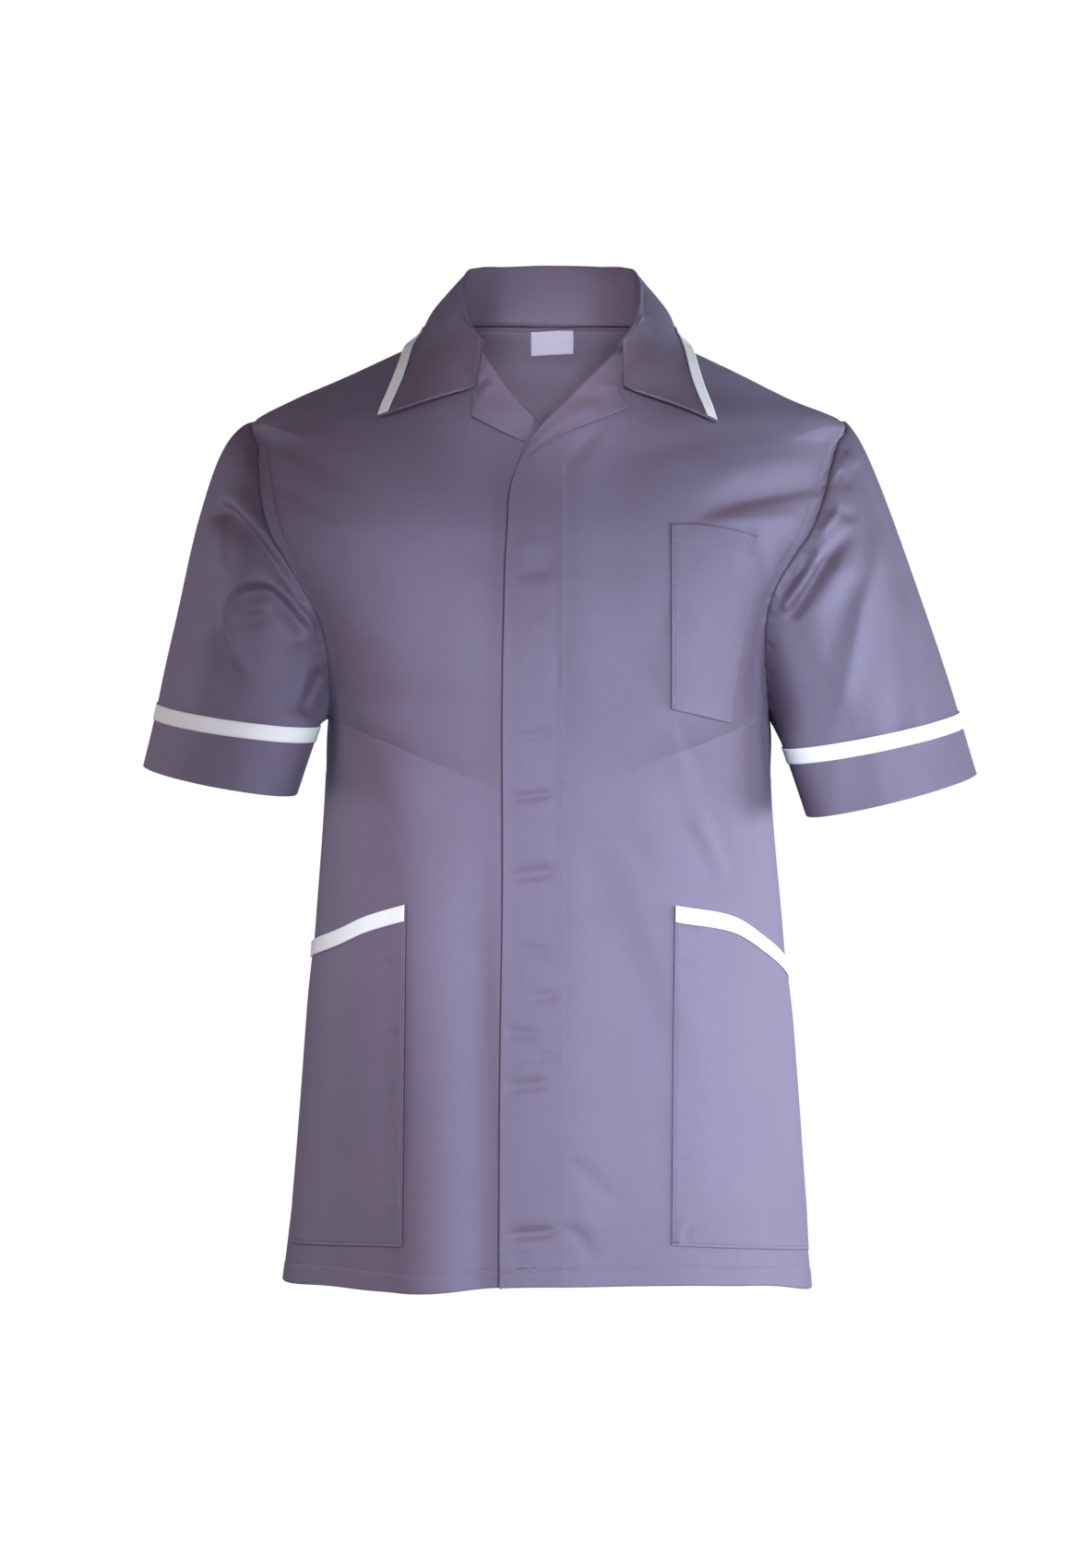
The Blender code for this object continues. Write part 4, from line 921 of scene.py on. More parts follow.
def fly_relief(points, column_at):
    """The fly's relief: its layers, the groove of its stitching and its creases."""
    across, _ = arcs(points)
    off = across - across[column_at:column_at + 1]
    on_fly = 1 - ease((off - FLY_STEP[0]) / FLY_STEP[1])
    creases = [
        Fold(((c.ax, c.az), (c.bx, c.bz)), c.width, c.width, CREASE_DEPTH * c.depth, *CREASE_ENDS)
        for c in FLY_CREASES
    ]
    lift = fold_field(creases, points[..., 0], points[..., 2]) * on_fly
    pucker = puckered(FLY_PUCKER, points[..., 2], off, SEED["fly"])
    return FLY_LAYER * on_fly + relief(off, FLY_GROOVE) + lift + pucker


def front_grid(side):
    """A front panel, without its turned edges, and the number of its fly stitching's column."""
    name = f"front_{SIDES[side]}"
    if side < 0:
        columns = FRONT_COLUMNS + FLY_COLUMNS // 2
        points = panel(name, side, UNDER_EDGE, RIGHT_NECKLINE, FRONT_MIDDLE, FRONT_HEM, columns)
    else:
        edges = (FLY_EDGE, LEFT_NECKLINE)
        points = panel(name, side, *edges, FRONT_MIDDLE, FRONT_HEM, FRONT_COLUMNS, FLY_STITCH_X)
        points = fly_lift(points)
    lift = seam_relief(points, SEED["front"] + side) + hem_relief(points)
    line = None if side < 0 else at_share(FLY_SHARES, FLY_WIDTH, FLY_WIDTH)
    if line is not None:
        lift = lift + fly_relief(points, line)
    return lifted(points, side * lift), line


def back_grid():
    """The back panel: two halves that share the middle column."""
    halves = []
    for side in (-1, 1):
        edge = (Point(0.0, BACK_HEM[2].height), BACK_NECKLINE[0])
        neckline = [Point(side * point.x, point.height) for point in BACK_NECKLINE]
        half = panel("back", side, edge, neckline, BACK_MIDDLE, BACK_HEM, BACK_HALF_COLUMNS)
        lift = seam_relief(half, SEED["back"] + side) + hem_relief(half)
        halves.append(lifted(half, -side * lift))
    halves[1][0] = halves[0][0] = (halves[0][0] + halves[1][0]) / 2
    return np.concatenate([halves[0][::-1], halves[1][1:]])


# The sleeves


def armhole_loop(side):
    """The armhole's points, from the underarm up the front to the shoulder and down the back."""
    rows = len(LOW_SHARES) - 1 + np.arange(ARMHOLE_ROWS + 1)
    front = lifted(front_grid(side)[0], -side * SLEEVE_SINK)[-1, rows]
    back = lifted(back_grid(), SLEEVE_SINK)[0 if side < 0 else -1, rows]
    ends = (front + back) / 2
    front[[0, -1]] = ends[[0, -1]]
    return np.concatenate([front, back[-2:0:-1]])


def in_front_view(pair, y=0.0):
    """(x, y, height) of a pair (x, height)."""
    return np.array([pair[0], y, pair[1]])


def sleeve_rings(side, around):
    """(hem ring, its direction, leaving and meeting directions) at the shares of the way round from
    the underarm by the front. The hem is an ellipse on its chord, lower in front."""
    cut = SLEEVES[side]
    turn = 2 * math.pi * around[:, None]
    out = (1 - np.cos(turn)) / 2
    flip = np.array([side, 1, 1])
    inner = in_front_view(cut.inner, HEM_CENTRE_Y - cut.turn)
    outer = in_front_view(cut.outer, HEM_CENTRE_Y + cut.turn)
    forward = np.array([0.0, -1.0, -HEM_FRONT_DROP])
    hem = inner + (outer - inner) * out + forward * cut.half_depth * np.sin(turn)
    in_way, out_way = in_front_view(cut.meet_in), in_front_view(cut.meet_out)
    way = unit(mixed(unit(in_way), unit(out_way), out))
    leave = mixed(in_front_view(cut.leave_in), in_front_view(cut.leave_out), out)
    leave = leave - BACKWARDS * SLEEVE_BULGE * np.sin(turn)
    return hem * flip, way * flip, leave * flip, mixed(in_way, out_way, out) * flip


def sleeve_lift(side, points, from_seam, from_hem):
    """How far the sleeve's folds stand out: its front's and its back's, which fade to nothing at the
    armhole, with the seam's hollow and the puckers of the eased head."""
    x, z = points[..., 0], points[..., 2]
    around_share = (np.arange(len(points)) / len(points))[:, None] + 0 * x
    in_front = ease(0.5 + np.sin(2 * math.pi * around_share) / 0.5)
    lift = fold_field(SLEEVE_FOLDS[side, -1], x, z) * in_front
    lift = lift + fold_field(SLEEVE_FOLDS[side, 1], x, z) * (1 - in_front)
    swell_height, swell_pitch = SLEEVE_SWAY
    lift = lift + swell_height * sway(x + points[..., 1], z, swell_pitch, SEED["sleeve"] + side)
    lift = lift * ease(from_seam / FOLD_START)
    around = arcs(points)[0]
    pucker = puckered(HEAD_PUCKER, around, from_seam, SEED["head"] + side)
    pucker = pucker * ease(from_seam / HEAD_PUCKER_START)
    swell = relief(from_seam, HEAD_SWELL) * ease(from_seam / HEAD_SWELL_START)
    ripple = puckered(SLEEVE_HEM_RIPPLE, around, from_hem, SEED["sleeve_hem"] + side)
    return lift + pucker + swell + ripple


def sleeve_grid(side):
    """A sleeve: cubic curves from the armhole to the start of its straight end, then straight lines
    to the hem, with the folds. The grid runs round from the underarm by the front, and down. Its
    first row is tucked under the trunk's edge."""
    loop = armhole_loop(side)
    around = np.arange(len(loop)) / len(loop)
    hem, way, leave, meet = sleeve_rings(side, around)
    start = hem - way * SLEEVE_END
    t = shares(CAP_ROWS, CAP_LENGTH, (0.0,))[None, :, None]
    loop, start, leave, meet = (a[:, None] for a in (loop, start, leave, meet))
    down = 1 - shares(END_ROWS, SLEEVE_END, (0.0,))[::-1]
    end = start + way[:, None] * SLEEVE_END * down[None, 1:, None]
    points = np.concatenate([cubic(loop, leave, start, meet, t), end], 1)
    from_seam = arcs(points)[1]
    from_hem = from_seam[:, -1:] - from_seam
    points = lifted(points, -side * sleeve_lift(side, points, from_seam, from_hem), closed=True)
    tuck = in_front_view(ARMHOLE_OUT) * np.array([side, 1, 1]) * SLEEVE_TUCK
    middle = points[:, :1].mean(0, keepdims=True)
    inwards = (middle - points[:, :1]) * TUCK_IN
    return np.concatenate([points[:, :1] - tuck + inwards, points], 1)


def strip_above_edge(points, rise_low, rise_high, count):
    """A strip of a grid between two rises above its last row, by linear steps along each column.
    rise_low and rise_high are arrays, one value a column."""
    along = arcs(points)[1]
    from_hem = along[:, -1:] - along
    t = np.linspace(0, 1, count + 1)
    rise = rise_low[:, None] + (rise_high - rise_low)[:, None] * t
    rows = np.arange(points.shape[1])
    places = np.stack([np.interp(rise[i], from_hem[i, ::-1], rows[::-1]) for i in range(len(points))])
    low = np.clip(np.floor(places).astype(int), 0, points.shape[1] - 2)
    part = (places - low)[..., None]
    pick = np.arange(len(points))[:, None]
    return mixed(points[pick, low], points[pick, low + 1], part)


def band_grid(side, sleeve):
    """The tape round a sleeve, laid on the sleeve's own points."""
    around = np.arange(len(sleeve)) / len(sleeve)
    out = (1 - np.cos(2 * math.pi * around)) / 2
    low = BAND_RISE_IN + (BAND_RISE_OUT - BAND_RISE_IN) * out
    points = strip_above_edge(sleeve, low + BAND_WIDTH, low, TAPE_ROWS)
    return lifted(points, -side * (LAY_GAP + TAPE_WALL), closed=True)


# The collar


def collar_row(side, share):
    """(neck seam, inner top of the roll, outer edge) at the shares of the way from the back's
    middle to the front end of one half."""
    knots = column(COLLAR, "share")
    ends = []
    for name in "nre":
        ends.append(np.stack([smooth(knots, column(COLLAR, name + axis), share) for axis in "xyz"], -1))
    neck, roll, edge = ends
    near_tip = ease((share - TIP_SHARE) / (1 - TIP_SHARE))
    edge[:, 0] -= TIP_IN[side] * near_tip
    edge[:, 2] += TIP_DROP[side] * near_tip
    flip = np.array([side, 1, 1])
    shift = np.array([COLLAR_SHIFT, 0, 0])
    return neck * flip, roll * flip + shift, edge * flip


def outward(row):
    """The level direction out of the neck at each point of a row."""
    return unit(row * np.array([1.0, 1.0, 0.0]))


def trunk_level(points):
    """Below 0 inside the trunk's sections, 0 on them, and above 0 outside."""
    x, y, z = points[..., 0], points[..., 1], points[..., 2]
    total = np.zeros(x.shape)
    for face in (-1, 1):
        level = np.abs(x / half_width(face, x, z)) ** section_at(face, SQUARE, z)
        level = level + (y / section_at(face, DEPTH, z)) ** 2 - 1
        total = np.where(y * face >= 0, level, total)
    return total


def blurred(field, passes):
    """A grid's field, with each value averaged with its neighbours that many times."""
    for _ in range(passes):
        wide = np.pad(field, ((1, 1), (1, 1), (0, 0)), mode="edge")
        beside = wide[:-2, 1:-1] + wide[2:, 1:-1] + wide[1:-1, :-2] + wide[1:-1, 2:]
        field = (4 * field + beside) / 8
    return field


def clear_of_trunk(points, lift):
    """The points moved straight out of the trunk, where they need it, until they lie lift off it. It
    fades out over the heights of the neckline, where the trunk ends."""
    for _ in range(CLEARING_STEPS):
        level = trunk_level(points)
        steps = [trunk_level(points + CLEARING_STEP * axis) - level for axis in np.eye(3)]
        slope = np.stack(steps, -1) / CLEARING_STEP
        size = np.linalg.norm(slope, axis=-1)
        short = np.clip(lift - level / size, 0, CLEARING_MOST)
        low, high = CLEARING_TOP
        short = short * (1 - ease((points[..., 2] - low) / (high - low)))
        points = points + slope * (short / size)[..., None]
    return points


def fall_points(side, share, f):
    """The collar's fall, from the roll (f = 0) to the outer edge (f = 1). Its front end runs down
    the gorge to its lower end, then along the collar's bottom edge to the tip."""
    _, roll, edge = collar_row(side, share)
    start = roll + outward(roll) * ROLL_WIDTH
    f = f[None, :, None]
    straight = mixed(start[:, None], edge[:, None], f)
    bulge = outward(roll)[:, None] + UP * FALL_BULGE_UP
    at_side = bell((share - SIDE_SHARE[0]) / SIDE_SHARE[1])[:, None, None]
    straight = straight + bulge * FALL_BULGE * 4 * f * (1 - f)
    straight = straight + outward(roll)[:, None] * SIDE_BULGE * at_side * 4 * f * (1 - f)
    # The front end bends from the straight line to the gorge's lower end.
    corner = np.array(GORGE_END) * np.array([side, 1, 1])
    kink = np.where(f < GORGE_SHARE, f / GORGE_SHARE, (1 - f) / (1 - GORGE_SHARE))
    bend = corner - mixed(start[:, None], edge[:, None], GORGE_SHARE)
    pull = ease((share - TIP_SHARE) / (1 - TIP_SHARE))[:, None, None]
    points = straight + bend * kink * pull
    past_gorge = f[..., 0] - GORGE_SHARE
    near_end = ease((share - END_SHARE) / (1 - END_SHARE))[:, None]
    at_end = near_end * ease((past_gorge - END_START) / END_GROW) * bell(past_gorge / END_HALF)
    lift = COLLAR_LIFT + COLLAR_END_LIFT * at_end
    moved = clear_of_trunk(points, lift) - points
    return clear_of_trunk(points + CLEARING_SHARE * blurred(moved, CLEARING_BLURS), lift)


def collar_half(side):
    """Half the collar, by column from the back's middle and by row up the stand, over the roll and
    down the fall."""
    share = shares(COLLAR_COLUMNS, COLLAR_LENGTH, (COLLAR_LENGTH,))
    neck, roll, _ = collar_row(side, share)
    t = np.linspace(0, 1, STAND_ROWS + 1)[None, :, None]
    stand = mixed(neck[:, None], roll[:, None], t)
    turn = (math.pi * np.arange(1, ROLL_ROWS) / ROLL_ROWS)[None, :, None]
    middle = (roll + outward(roll) * ROLL_WIDTH / 2)[:, None]
    over = middle - outward(roll)[:, None] * ROLL_WIDTH / 2 * np.cos(turn)
    over = over + UP * ROLL_RISE * np.sin(turn)
    f = shares(FALL_ROWS, FALL_LENGTH, (FALL_LENGTH,))
    return np.concatenate([stand, over, fall_points(side, share, f)], 1)


def collar_grid():
    """The collar, from its right front end round the back to its left one, with a slow swell."""
    points = np.concatenate([collar_half(-1)[::-1], collar_half(1)[1:]])
    across, along = arcs(points)
    height, pitch = COLLAR_SWAY
    return lifted(points, height * sway(across, along, pitch, SEED["collar"]))


def collar_edge_radius(collar):
    """The radius of the turned edge along the collar's front end: next to nothing on the stand, the
    roll and the gorge, and full along the bottom edge."""
    rows = len(collar[0])
    first_fall = STAND_ROWS + ROLL_ROWS
    f = np.clip((np.arange(rows) - first_fall) / (rows - 1 - first_fall), 0, 1)
    return (CREASED_RADIUS + EDGE_RADIUS * ease((f - GORGE_SHARE) / FULL_SHARE))[:, None]


def collar_tape_grid(collar):
    """The tape along the collar's whole outer edge, from tip to tip, laid on the collar's points."""
    rise = np.full(len(collar), COLLAR_TAPE_WIDTH)
    return lifted(strip_above_edge(collar, rise, 0 * rise, TAPE_ROWS), LAY_GAP + TAPE_WALL)


# The lapels, pockets, tapes and label


def lapel_outline(side):
    """The lapel's roll line and outer edge, at even shares of the way down. The edge turns sharply at
    the lapel's corner and is smooth below it."""
    table = LAPELS[side]
    knots = np.linspace(0, 1, len(table))
    p = np.unique(np.concatenate([np.linspace(0, 1, LAPEL_ROWS + 1), knots]))
    ends = []
    for name in ("roll_", "outer_"):
        axes = []
        for axis in "xz":
            values = column(table, name + axis)
            lower = smooth(knots[1:], values[1:], np.maximum(p, knots[1]))
            axes.append(np.where(p < knots[1], np.interp(p, knots, values), lower))
        ends.append(np.stack(axes, -1))
    return ends


def on_front(side, flat):
    """The points of a front's outer face at the places (x, height), lifted off the other front."""
    points = trunk(f"front_{SIDES[side]}", flat[..., 0], flat[..., 1])
    return fly_lift(points) if side > 0 else points


def lapel_grid(side):
    """A lapel, laid on its front: columns from its facing, behind the front, round the roll line and
    out to its edge, and rows from the collar down to the break."""
    roll, outer = lapel_outline(side)
    q = shares(LAPEL_COLUMNS, LAPEL_WIDTH, (LAPEL_WIDTH,))[:, None, None]
    points = on_front(side, mixed(roll, outer, q))
    down = np.linspace(0, 1, len(roll))
    free = 1 - ease((down - LAPEL_HELD[0]) / LAPEL_HELD[1])
    lift = LAPEL_LIFT + LAPEL_BULGE * np.sin(math.pi * q[..., 0]) ** 2
    lift = lift + LAPEL_EDGE_LIFT * q[..., 0] ** 2 * free
    lift = lift + fold_field(LAPEL_FOLDS[side], points[..., 0], points[..., 2])
    front = points - lift[..., None] * BACKWARDS
    radius = (LAPEL_LIFT + 2 * WALL) / 2
    turn = (math.pi * np.arange(1, TURN_ROWS + 2) / (TURN_ROWS + 1))[:, None, None]
    centre = front[0] + BACKWARDS * radius
    over = centre - BACKWARDS * radius * np.cos(turn) + unit(front[0] - front[2]) * radius * np.sin(turn)
    back_q = np.linspace(0, LAPEL_FACING, UNDER_ROWS)[1:, None, None]
    behind = on_front(side, mixed(roll, outer, back_q)) + BACKWARDS * 2 * WALL
    whole = np.concatenate([behind[::-1], over[::-1], front])
    edge_radius = (CREASED_RADIUS + LAPEL_EDGE_RADIUS * free)[:, None]
    return turned(whole[::-1], LAPEL_TURN, side, edge_radius)[::-1]


HIP_ACROSS = shares(HIP_COLUMNS, HIP_WIDTH, (0.0, EDGE_STITCH))
HIP_UP = shares(HIP_ROWS, HIP_DEPTH, (0.0, EDGE_STITCH))


def hip_grid(side, drop, t):
    """Points on the front from a hip pocket's front edge to its side seam, at the shares t of the way
    up to its mouth from its foot, or from that drop below the mouth."""
    cut = HIP_POCKETS[side]
    u = HIP_ACROSS[:, None]
    knots, drops = zip(*cut.mouth)
    top = cut.top - smooth(knots, drops, u)
    low = cut.bottom + (cut.side_bottom - cut.bottom) * u if drop is None else top - drop
    z = low + (top - low) * t[None, :]
    down = (cut.top - z) / (cut.top - cut.bottom)
    half = reach(-1, side, z)
    start = np.arcsin((cut.front_top + (cut.front_bottom - cut.front_top) * down) / half)
    side_turn = SIDE_TURN + (cut.turn_bottom - SIDE_TURN) * down
    turn = start + (math.pi / 2 * side_turn - start) * u
    return trunk(f"front_{SIDES[side]}", side * half * np.sin(turn), z)


def hip_pocket_grid(side):
    """A hip pocket, laid on its front, with the grooves of its edge stitching."""
    points = hip_grid(side, None, HIP_UP)
    across, along = arcs(points)
    groove = relief(across, (POCKET_GROOVE,)) + relief(along, (POCKET_GROOVE,))
    pucker = puckered(POCKET_PUCKER, along, across, SEED["hip"])
    side_reach, foot_reach, top_reach = HIP_BELLY_REACH
    belly = HIP_BELLY * ease(across / side_reach) * ease(along / foot_reach)
    belly = belly * ease((along[:, -1:] - along) / top_reach)
    folds = fold_field(HIP_FOLDS[side], points[..., 0], points[..., 2])
    return lifted(points, side * (LAY_GAP + POCKET_EASE + WALL + groove + pucker + belly + folds))


def hip_trim_grid(side):
    """The tape on a hip pocket's mouth."""
    points = hip_grid(side, TAPE_WIDTH, shares(TAPE_ROWS, TAPE_WIDTH))
    return lifted(points, side * (2 * LAY_GAP + POCKET_EASE + WALL + TAPE_WALL + TRIM_GAP))


def chest_shares():
    """((shares across, lines), (shares up, lines)) of the chest pocket: its grid's columns and rows,
    with closer ones at its stitching, which is so far from its near edge and its foot."""
    across = (EDGE_STITCH, CHEST_WIDTH - EDGE_STITCH)
    up = (EDGE_STITCH, CHEST_DEPTH - CHEST_HEM)
    return (shares(CHEST_COLUMNS, CHEST_WIDTH, across), across), (shares(CHEST_ROWS, CHEST_DEPTH, up), up)


def chest_pocket_grid():
    """The chest pocket, laid on the left front: a grid between its four corners, with the grooves of
    its edge stitching and hem."""
    corner = {name: np.array(place) for name, place in CHEST_POCKET.items()}
    u, t = (line[0] for line in chest_shares())
    u, t = u[:, None, None], t[None, :, None]
    low = mixed(corner["bottom_front"], corner["bottom_side"], u)
    high = mixed(corner["top_front"], corner["top_side"], u)
    high = high + np.array([0.0, CHEST_MOUTH_RISE]) * 4 * u * (1 - u)
    flat = mixed(low, high, t)
    points = trunk("front_left", flat[..., 0], flat[..., 1])
    across, along = arcs(points)
    from_top = along[:, -1:] - along
    groove = relief(across, (POCKET_GROOVE,)) + relief(from_top, (CHEST_HEM_GROOVE,))
    hem = CHEST_HEM_LAYER * (1 - ease((from_top - CHEST_HEM) / CHEST_HEM_STEP))
    pucker = puckered(POCKET_PUCKER, along, across, SEED["chest"])
    folds = fold_field(CHEST_FOLDS, points[..., 0], points[..., 2])
    side_reach, foot_reach = CHEST_BELLY_REACH
    belly = CHEST_BELLY * ease(across / side_reach) * ease((across[-1:] - across) / side_reach)
    belly = belly * ease(along / foot_reach)
    lift = LAY_GAP + POCKET_EASE + WALL + groove + hem + pucker + folds + belly
    return lifted(points, lift)


def label_grid():
    """The label, inside the back below the neck seam, a little aslant, with its lower fold."""
    u = np.linspace(0, 1, LABEL_CELLS[0] + 1)[:, None]
    t = np.linspace(0, 1, LABEL_CELLS[1] + 1)[None, :]
    x = LABEL_X[0] + (LABEL_X[1] - LABEL_X[0]) * u + LABEL_SHEAR * (LABEL_Z[0] - LABEL_Z[1]) * t
    z = LABEL_Z[0] + (LABEL_Z[1] - LABEL_Z[0]) * t + LABEL_TILT * (x - LABEL_X[0])
    points = trunk("back", x, z)
    wave_u, wave_t = LABEL_WAVES
    lift = WALL + LAY_GAP + LABEL_CURL * t ** 2 + LABEL_WAVE * np.sin(wave_u * u + wave_t * t)
    return lifted(points, -lift)


# Meshes


def grid_faces(across, along, closed, flip):
    """A face between each four neighbours of a grid, as (column, row) numbers by corner."""
    i, j = np.meshgrid(np.arange(across - (0 if closed else 1)), np.arange(along - 1), indexing="ij")
    places = ((i, j), (i + 1, j), (i + 1, j + 1), (i, j + 1))
    corners = np.stack([np.stack(place, -1) for place in places], 2).reshape(-1, 4, 2)
    return corners[:, ::-1] if flip else corners


def new_object(name, vertices, faces, material):
    """An object of those vertices and faces, shaded smooth, riding on the tunic."""
    mesh = bpy.data.meshes.new(name)
    mesh.from_pydata(vertices.tolist(), [], faces)
    mesh.materials.append(material)
    mesh.shade_smooth()
    piece = bpy.data.objects.new(name, mesh)
    bpy.context.scene.collection.objects.link(piece)
    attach(piece, "root")
    return piece


def cloth_piece(name, points, material, wall, node, slot, closed=False, flip=False):
    """A piece of cloth from a grid: its faces, a UV map in metres along its columns and rows, and a
    wall that grows inwards. It stands for the CAD node."""
    across_count, along_count = points.shape[:2]
    corners = grid_faces(across_count, along_count, closed, flip)
    faces = (corners[..., 0] % across_count) * along_count + corners[..., 1]
    piece = new_object(name, points.reshape(-1, 3), faces.tolist(), material)
    looped = np.concatenate([points, points[:1]]) if closed else points
    across, along = arcs(looped)
    middle = across[:, along_count // 2][:, None] + 0 * along
    uv = np.stack([middle, along], -1)[corners[..., 0], corners[..., 1]]
    layer = piece.data.uv_layers.new(name=UV_NAME)
    layer.data.foreach_set("uv", uv.reshape(-1).astype(np.float32))
    solidify = piece.modifiers.new("wall", "SOLIDIFY")
    solidify.thickness = wall
    solidify.offset = -1
    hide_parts(node)
    return piece


def at_runs(path, normal, runs):
    """(points, normals) at the distances along a path."""
    knots = runs_along(path)
    return [np.stack([np.interp(runs, knots, field[:, i]) for i in range(3)], -1) for field in (path, normal)]


def laid_threads(start, end, up):
    """Short straight threads, each of four rings, whose ends dip into the cloth. Returns the points by
    thread, ring and side."""
    rings = np.array(STITCH_RINGS)
    up = unit(up)
    beside = np.cross(unit(end - start), up)
    angle = 2 * math.pi * np.arange(STITCH_SIDES) / STITCH_SIDES
    ring = beside[:, None] * np.cos(angle)[:, None] + up[:, None] * np.sin(angle)[:, None]
    ring = ring[:, None] * (THREAD_RADIUS * rings[:, 1])[None, :, None, None]
    centre = start[:, None] + (end - start)[:, None] * rings[:, 0][:, None]
    centre = centre + up[:, None] * (THREAD_RADIUS * rings[:, 2])[:, None]
    return centre[:, :, None] + ring


def stitches(path, normal):
    """A line of stitches along a path, a pitch apart."""
    whole = runs_along(path)[-1]
    count = max(int(whole / STITCH_PITCH), 1)
    middle = (np.arange(count) + 0.5) * whole / count
    start, up = at_runs(path, normal, middle - STITCH_LENGTH / 2)
    end, _ = at_runs(path, normal, middle + STITCH_LENGTH / 2)
    return laid_threads(start, end, up)


def zigzag(path, normal, width, pitch):
    """Threads that go to and fro across a path, as in a bar tack or an overlocked edge."""
    whole = runs_along(path)[-1]
    count = max(int(whole / pitch), 2)
    runs = np.linspace(0, whole, count + 1)
    points, up = at_runs(path, normal, runs)
    beside = unit(np.cross(np.gradient(points, axis=0), up))
    swing = np.where(np.arange(count + 1) % 2 == 0, 1.0, -1.0)[:, None] * width / 2
    points = points + beside * swing
    return laid_threads(points[:-1], points[1:], up[:-1])


def thread_piece(name, lots, material):
    """One object of many stitches: each thread's rings joined by four-sided faces, with closed ends."""
    points = np.concatenate([lot.reshape(-1, len(STITCH_RINGS) * STITCH_SIDES, 3) for lot in lots])
    rings, sides = len(STITCH_RINGS), STITCH_SIDES
    i, k = np.meshgrid(np.arange(rings - 1), np.arange(sides), indexing="ij")
    here, above, beyond = i * sides, (i + 1) * sides, (k + 1) % sides
    quads = np.stack([here + k, above + k, above + beyond, here + beyond], -1).reshape(-1, 4)
    first = np.arange(len(points))[:, None, None] * rings * sides
    body = (quads[None] + first).reshape(-1, 4)
    start = (np.arange(sides)[None] + first[:, 0]).tolist()
    end = ((rings - 1) * sides + np.arange(sides)[None, ::-1] + first[:, 0]).tolist()
    piece = new_object(name, points.reshape(-1, 3), body.tolist() + start + end, material)
    return piece


def grid_path(points, columns, rows, outward_side, lift=0.0):
    """(path, normals) through a grid at fractional column and row numbers, one of which may be a
    single number."""
    columns, rows = np.broadcast_arrays(np.asarray(columns, float), np.asarray(rows, float))
    out = normals(points) * outward_side
    i = np.clip(np.floor(columns).astype(int), 0, points.shape[0] - 2)
    j = np.clip(np.floor(rows).astype(int), 0, points.shape[1] - 2)
    a, b = (columns - i)[:, None], (rows - j)[:, None]
    found = []
    for field in (points, out):
        near = mixed(field[i, j], field[i + 1, j], a)
        far = mixed(field[i, j + 1], field[i + 1, j + 1], a)
        found.append(mixed(near, far, b))
    return found[0] + found[1] * lift, found[1]


def place_on(grid_shares, length, distance):
    """The fractional line number that is so far from a grid's start."""
    return float(np.interp(distance / length, grid_shares, np.arange(len(grid_shares))))


def grid_line(points, first, last, outward_side, lift=0.0):
    """(path, normals) along a straight line on a grid, between two (column, row) places."""
    t = np.linspace(0, 1, LINE_STEPS)
    columns = first[0] + (last[0] - first[0]) * t
    rows = first[1] + (last[1] - first[1]) * t
    return grid_path(points, columns, rows, outward_side, lift)


def line_stitches(points, lines, outward_side):
    """The stitching along straight lines on a grid, each between two (column, row) places."""
    return [stitches(*grid_line(points, *line, outward_side)) for line in lines]


def chest_lots(points):
    """The chest pocket's stitching: down its sides and along its foot, along its hem, and a triangle in
    each top corner."""
    (across, across_lines), (along, along_lines) = chest_shares()
    near, far = (place_on(across, CHEST_WIDTH, d) for d in across_lines)
    foot, hem = (place_on(along, CHEST_DEPTH, d) for d in along_lines)
    top = len(along) - 1 - TOP_STITCH_INSET
    lines = [((near, top), (near, foot)), ((near, foot), (far, foot)), ((far, foot), (far, top))]
    lines.append(((near, hem), (far, hem)))
    for edge, way in ((near, 1), (far, -1)):
        inner = edge + way * place_on(across, CHEST_WIDTH, TACK_REACH)
        lines += [((edge, hem), (inner, top)), ((edge, top), (inner, top))]
    return line_stitches(points, lines, 1)


def hip_lots(points, side):
    """A hip pocket's stitching, down its front edge and along its foot."""
    near, foot = place_on(HIP_ACROSS, HIP_WIDTH, EDGE_STITCH), place_on(HIP_UP, HIP_DEPTH, EDGE_STITCH)
    lines = [((near, len(HIP_UP) - 1), (near, foot)), ((near, foot), (len(HIP_ACROSS) - 1, foot))]
    return line_stitches(points, lines, side)


def trim_lots(points, side):
    """The stitching along a hip tape's edges, with the triangle at its front corner."""
    near, inner = (place_on(HIP_ACROSS, HIP_WIDTH, d) for d in (EDGE_STITCH, TAPE_WIDTH))
    low, high = TAPE_STITCH_ROWS
    lines = [((near, row), (len(HIP_ACROSS) - 1, row)) for row in TAPE_STITCH_ROWS]
    lines += [((near, low), (near, high)), ((near, low), (inner, high))]
    return line_stitches(points, lines, side)


# Materials


def set_inputs(node, values):
    """Sets a node's sockets, by name."""
    for name, value in values.items():
        node.inputs[name].default_value = value


def open_group(name, number, value, outputs):
    """A new node group that takes a map and one number, and puts out masks, with its two ends."""
    group = bpy.data.node_groups.new(name, "ShaderNodeTree")
    add = group.interface.new_socket
    add(name="Map", in_out="INPUT", socket_type="NodeSocketVector")
    add(name=number, in_out="INPUT", socket_type="NodeSocketFloat").default_value = value
    for output in outputs:
        add(name=output, in_out="OUTPUT", socket_type="NodeSocketFloat")
    return group, group.nodes.new("NodeGroupInput"), group.nodes.new("NodeGroupOutput")


def math_node(tree, operation, *values):
    """A Math node of that operation, fed by sockets or numbers."""
    node = tree.nodes.new("ShaderNodeMath")
    node.operation = operation
    for place, value in zip(node.inputs, values):
        if isinstance(value, (int, float)):
            place.default_value = value
        else:
            tree.links.new(value, place)
    return node.outputs[0]


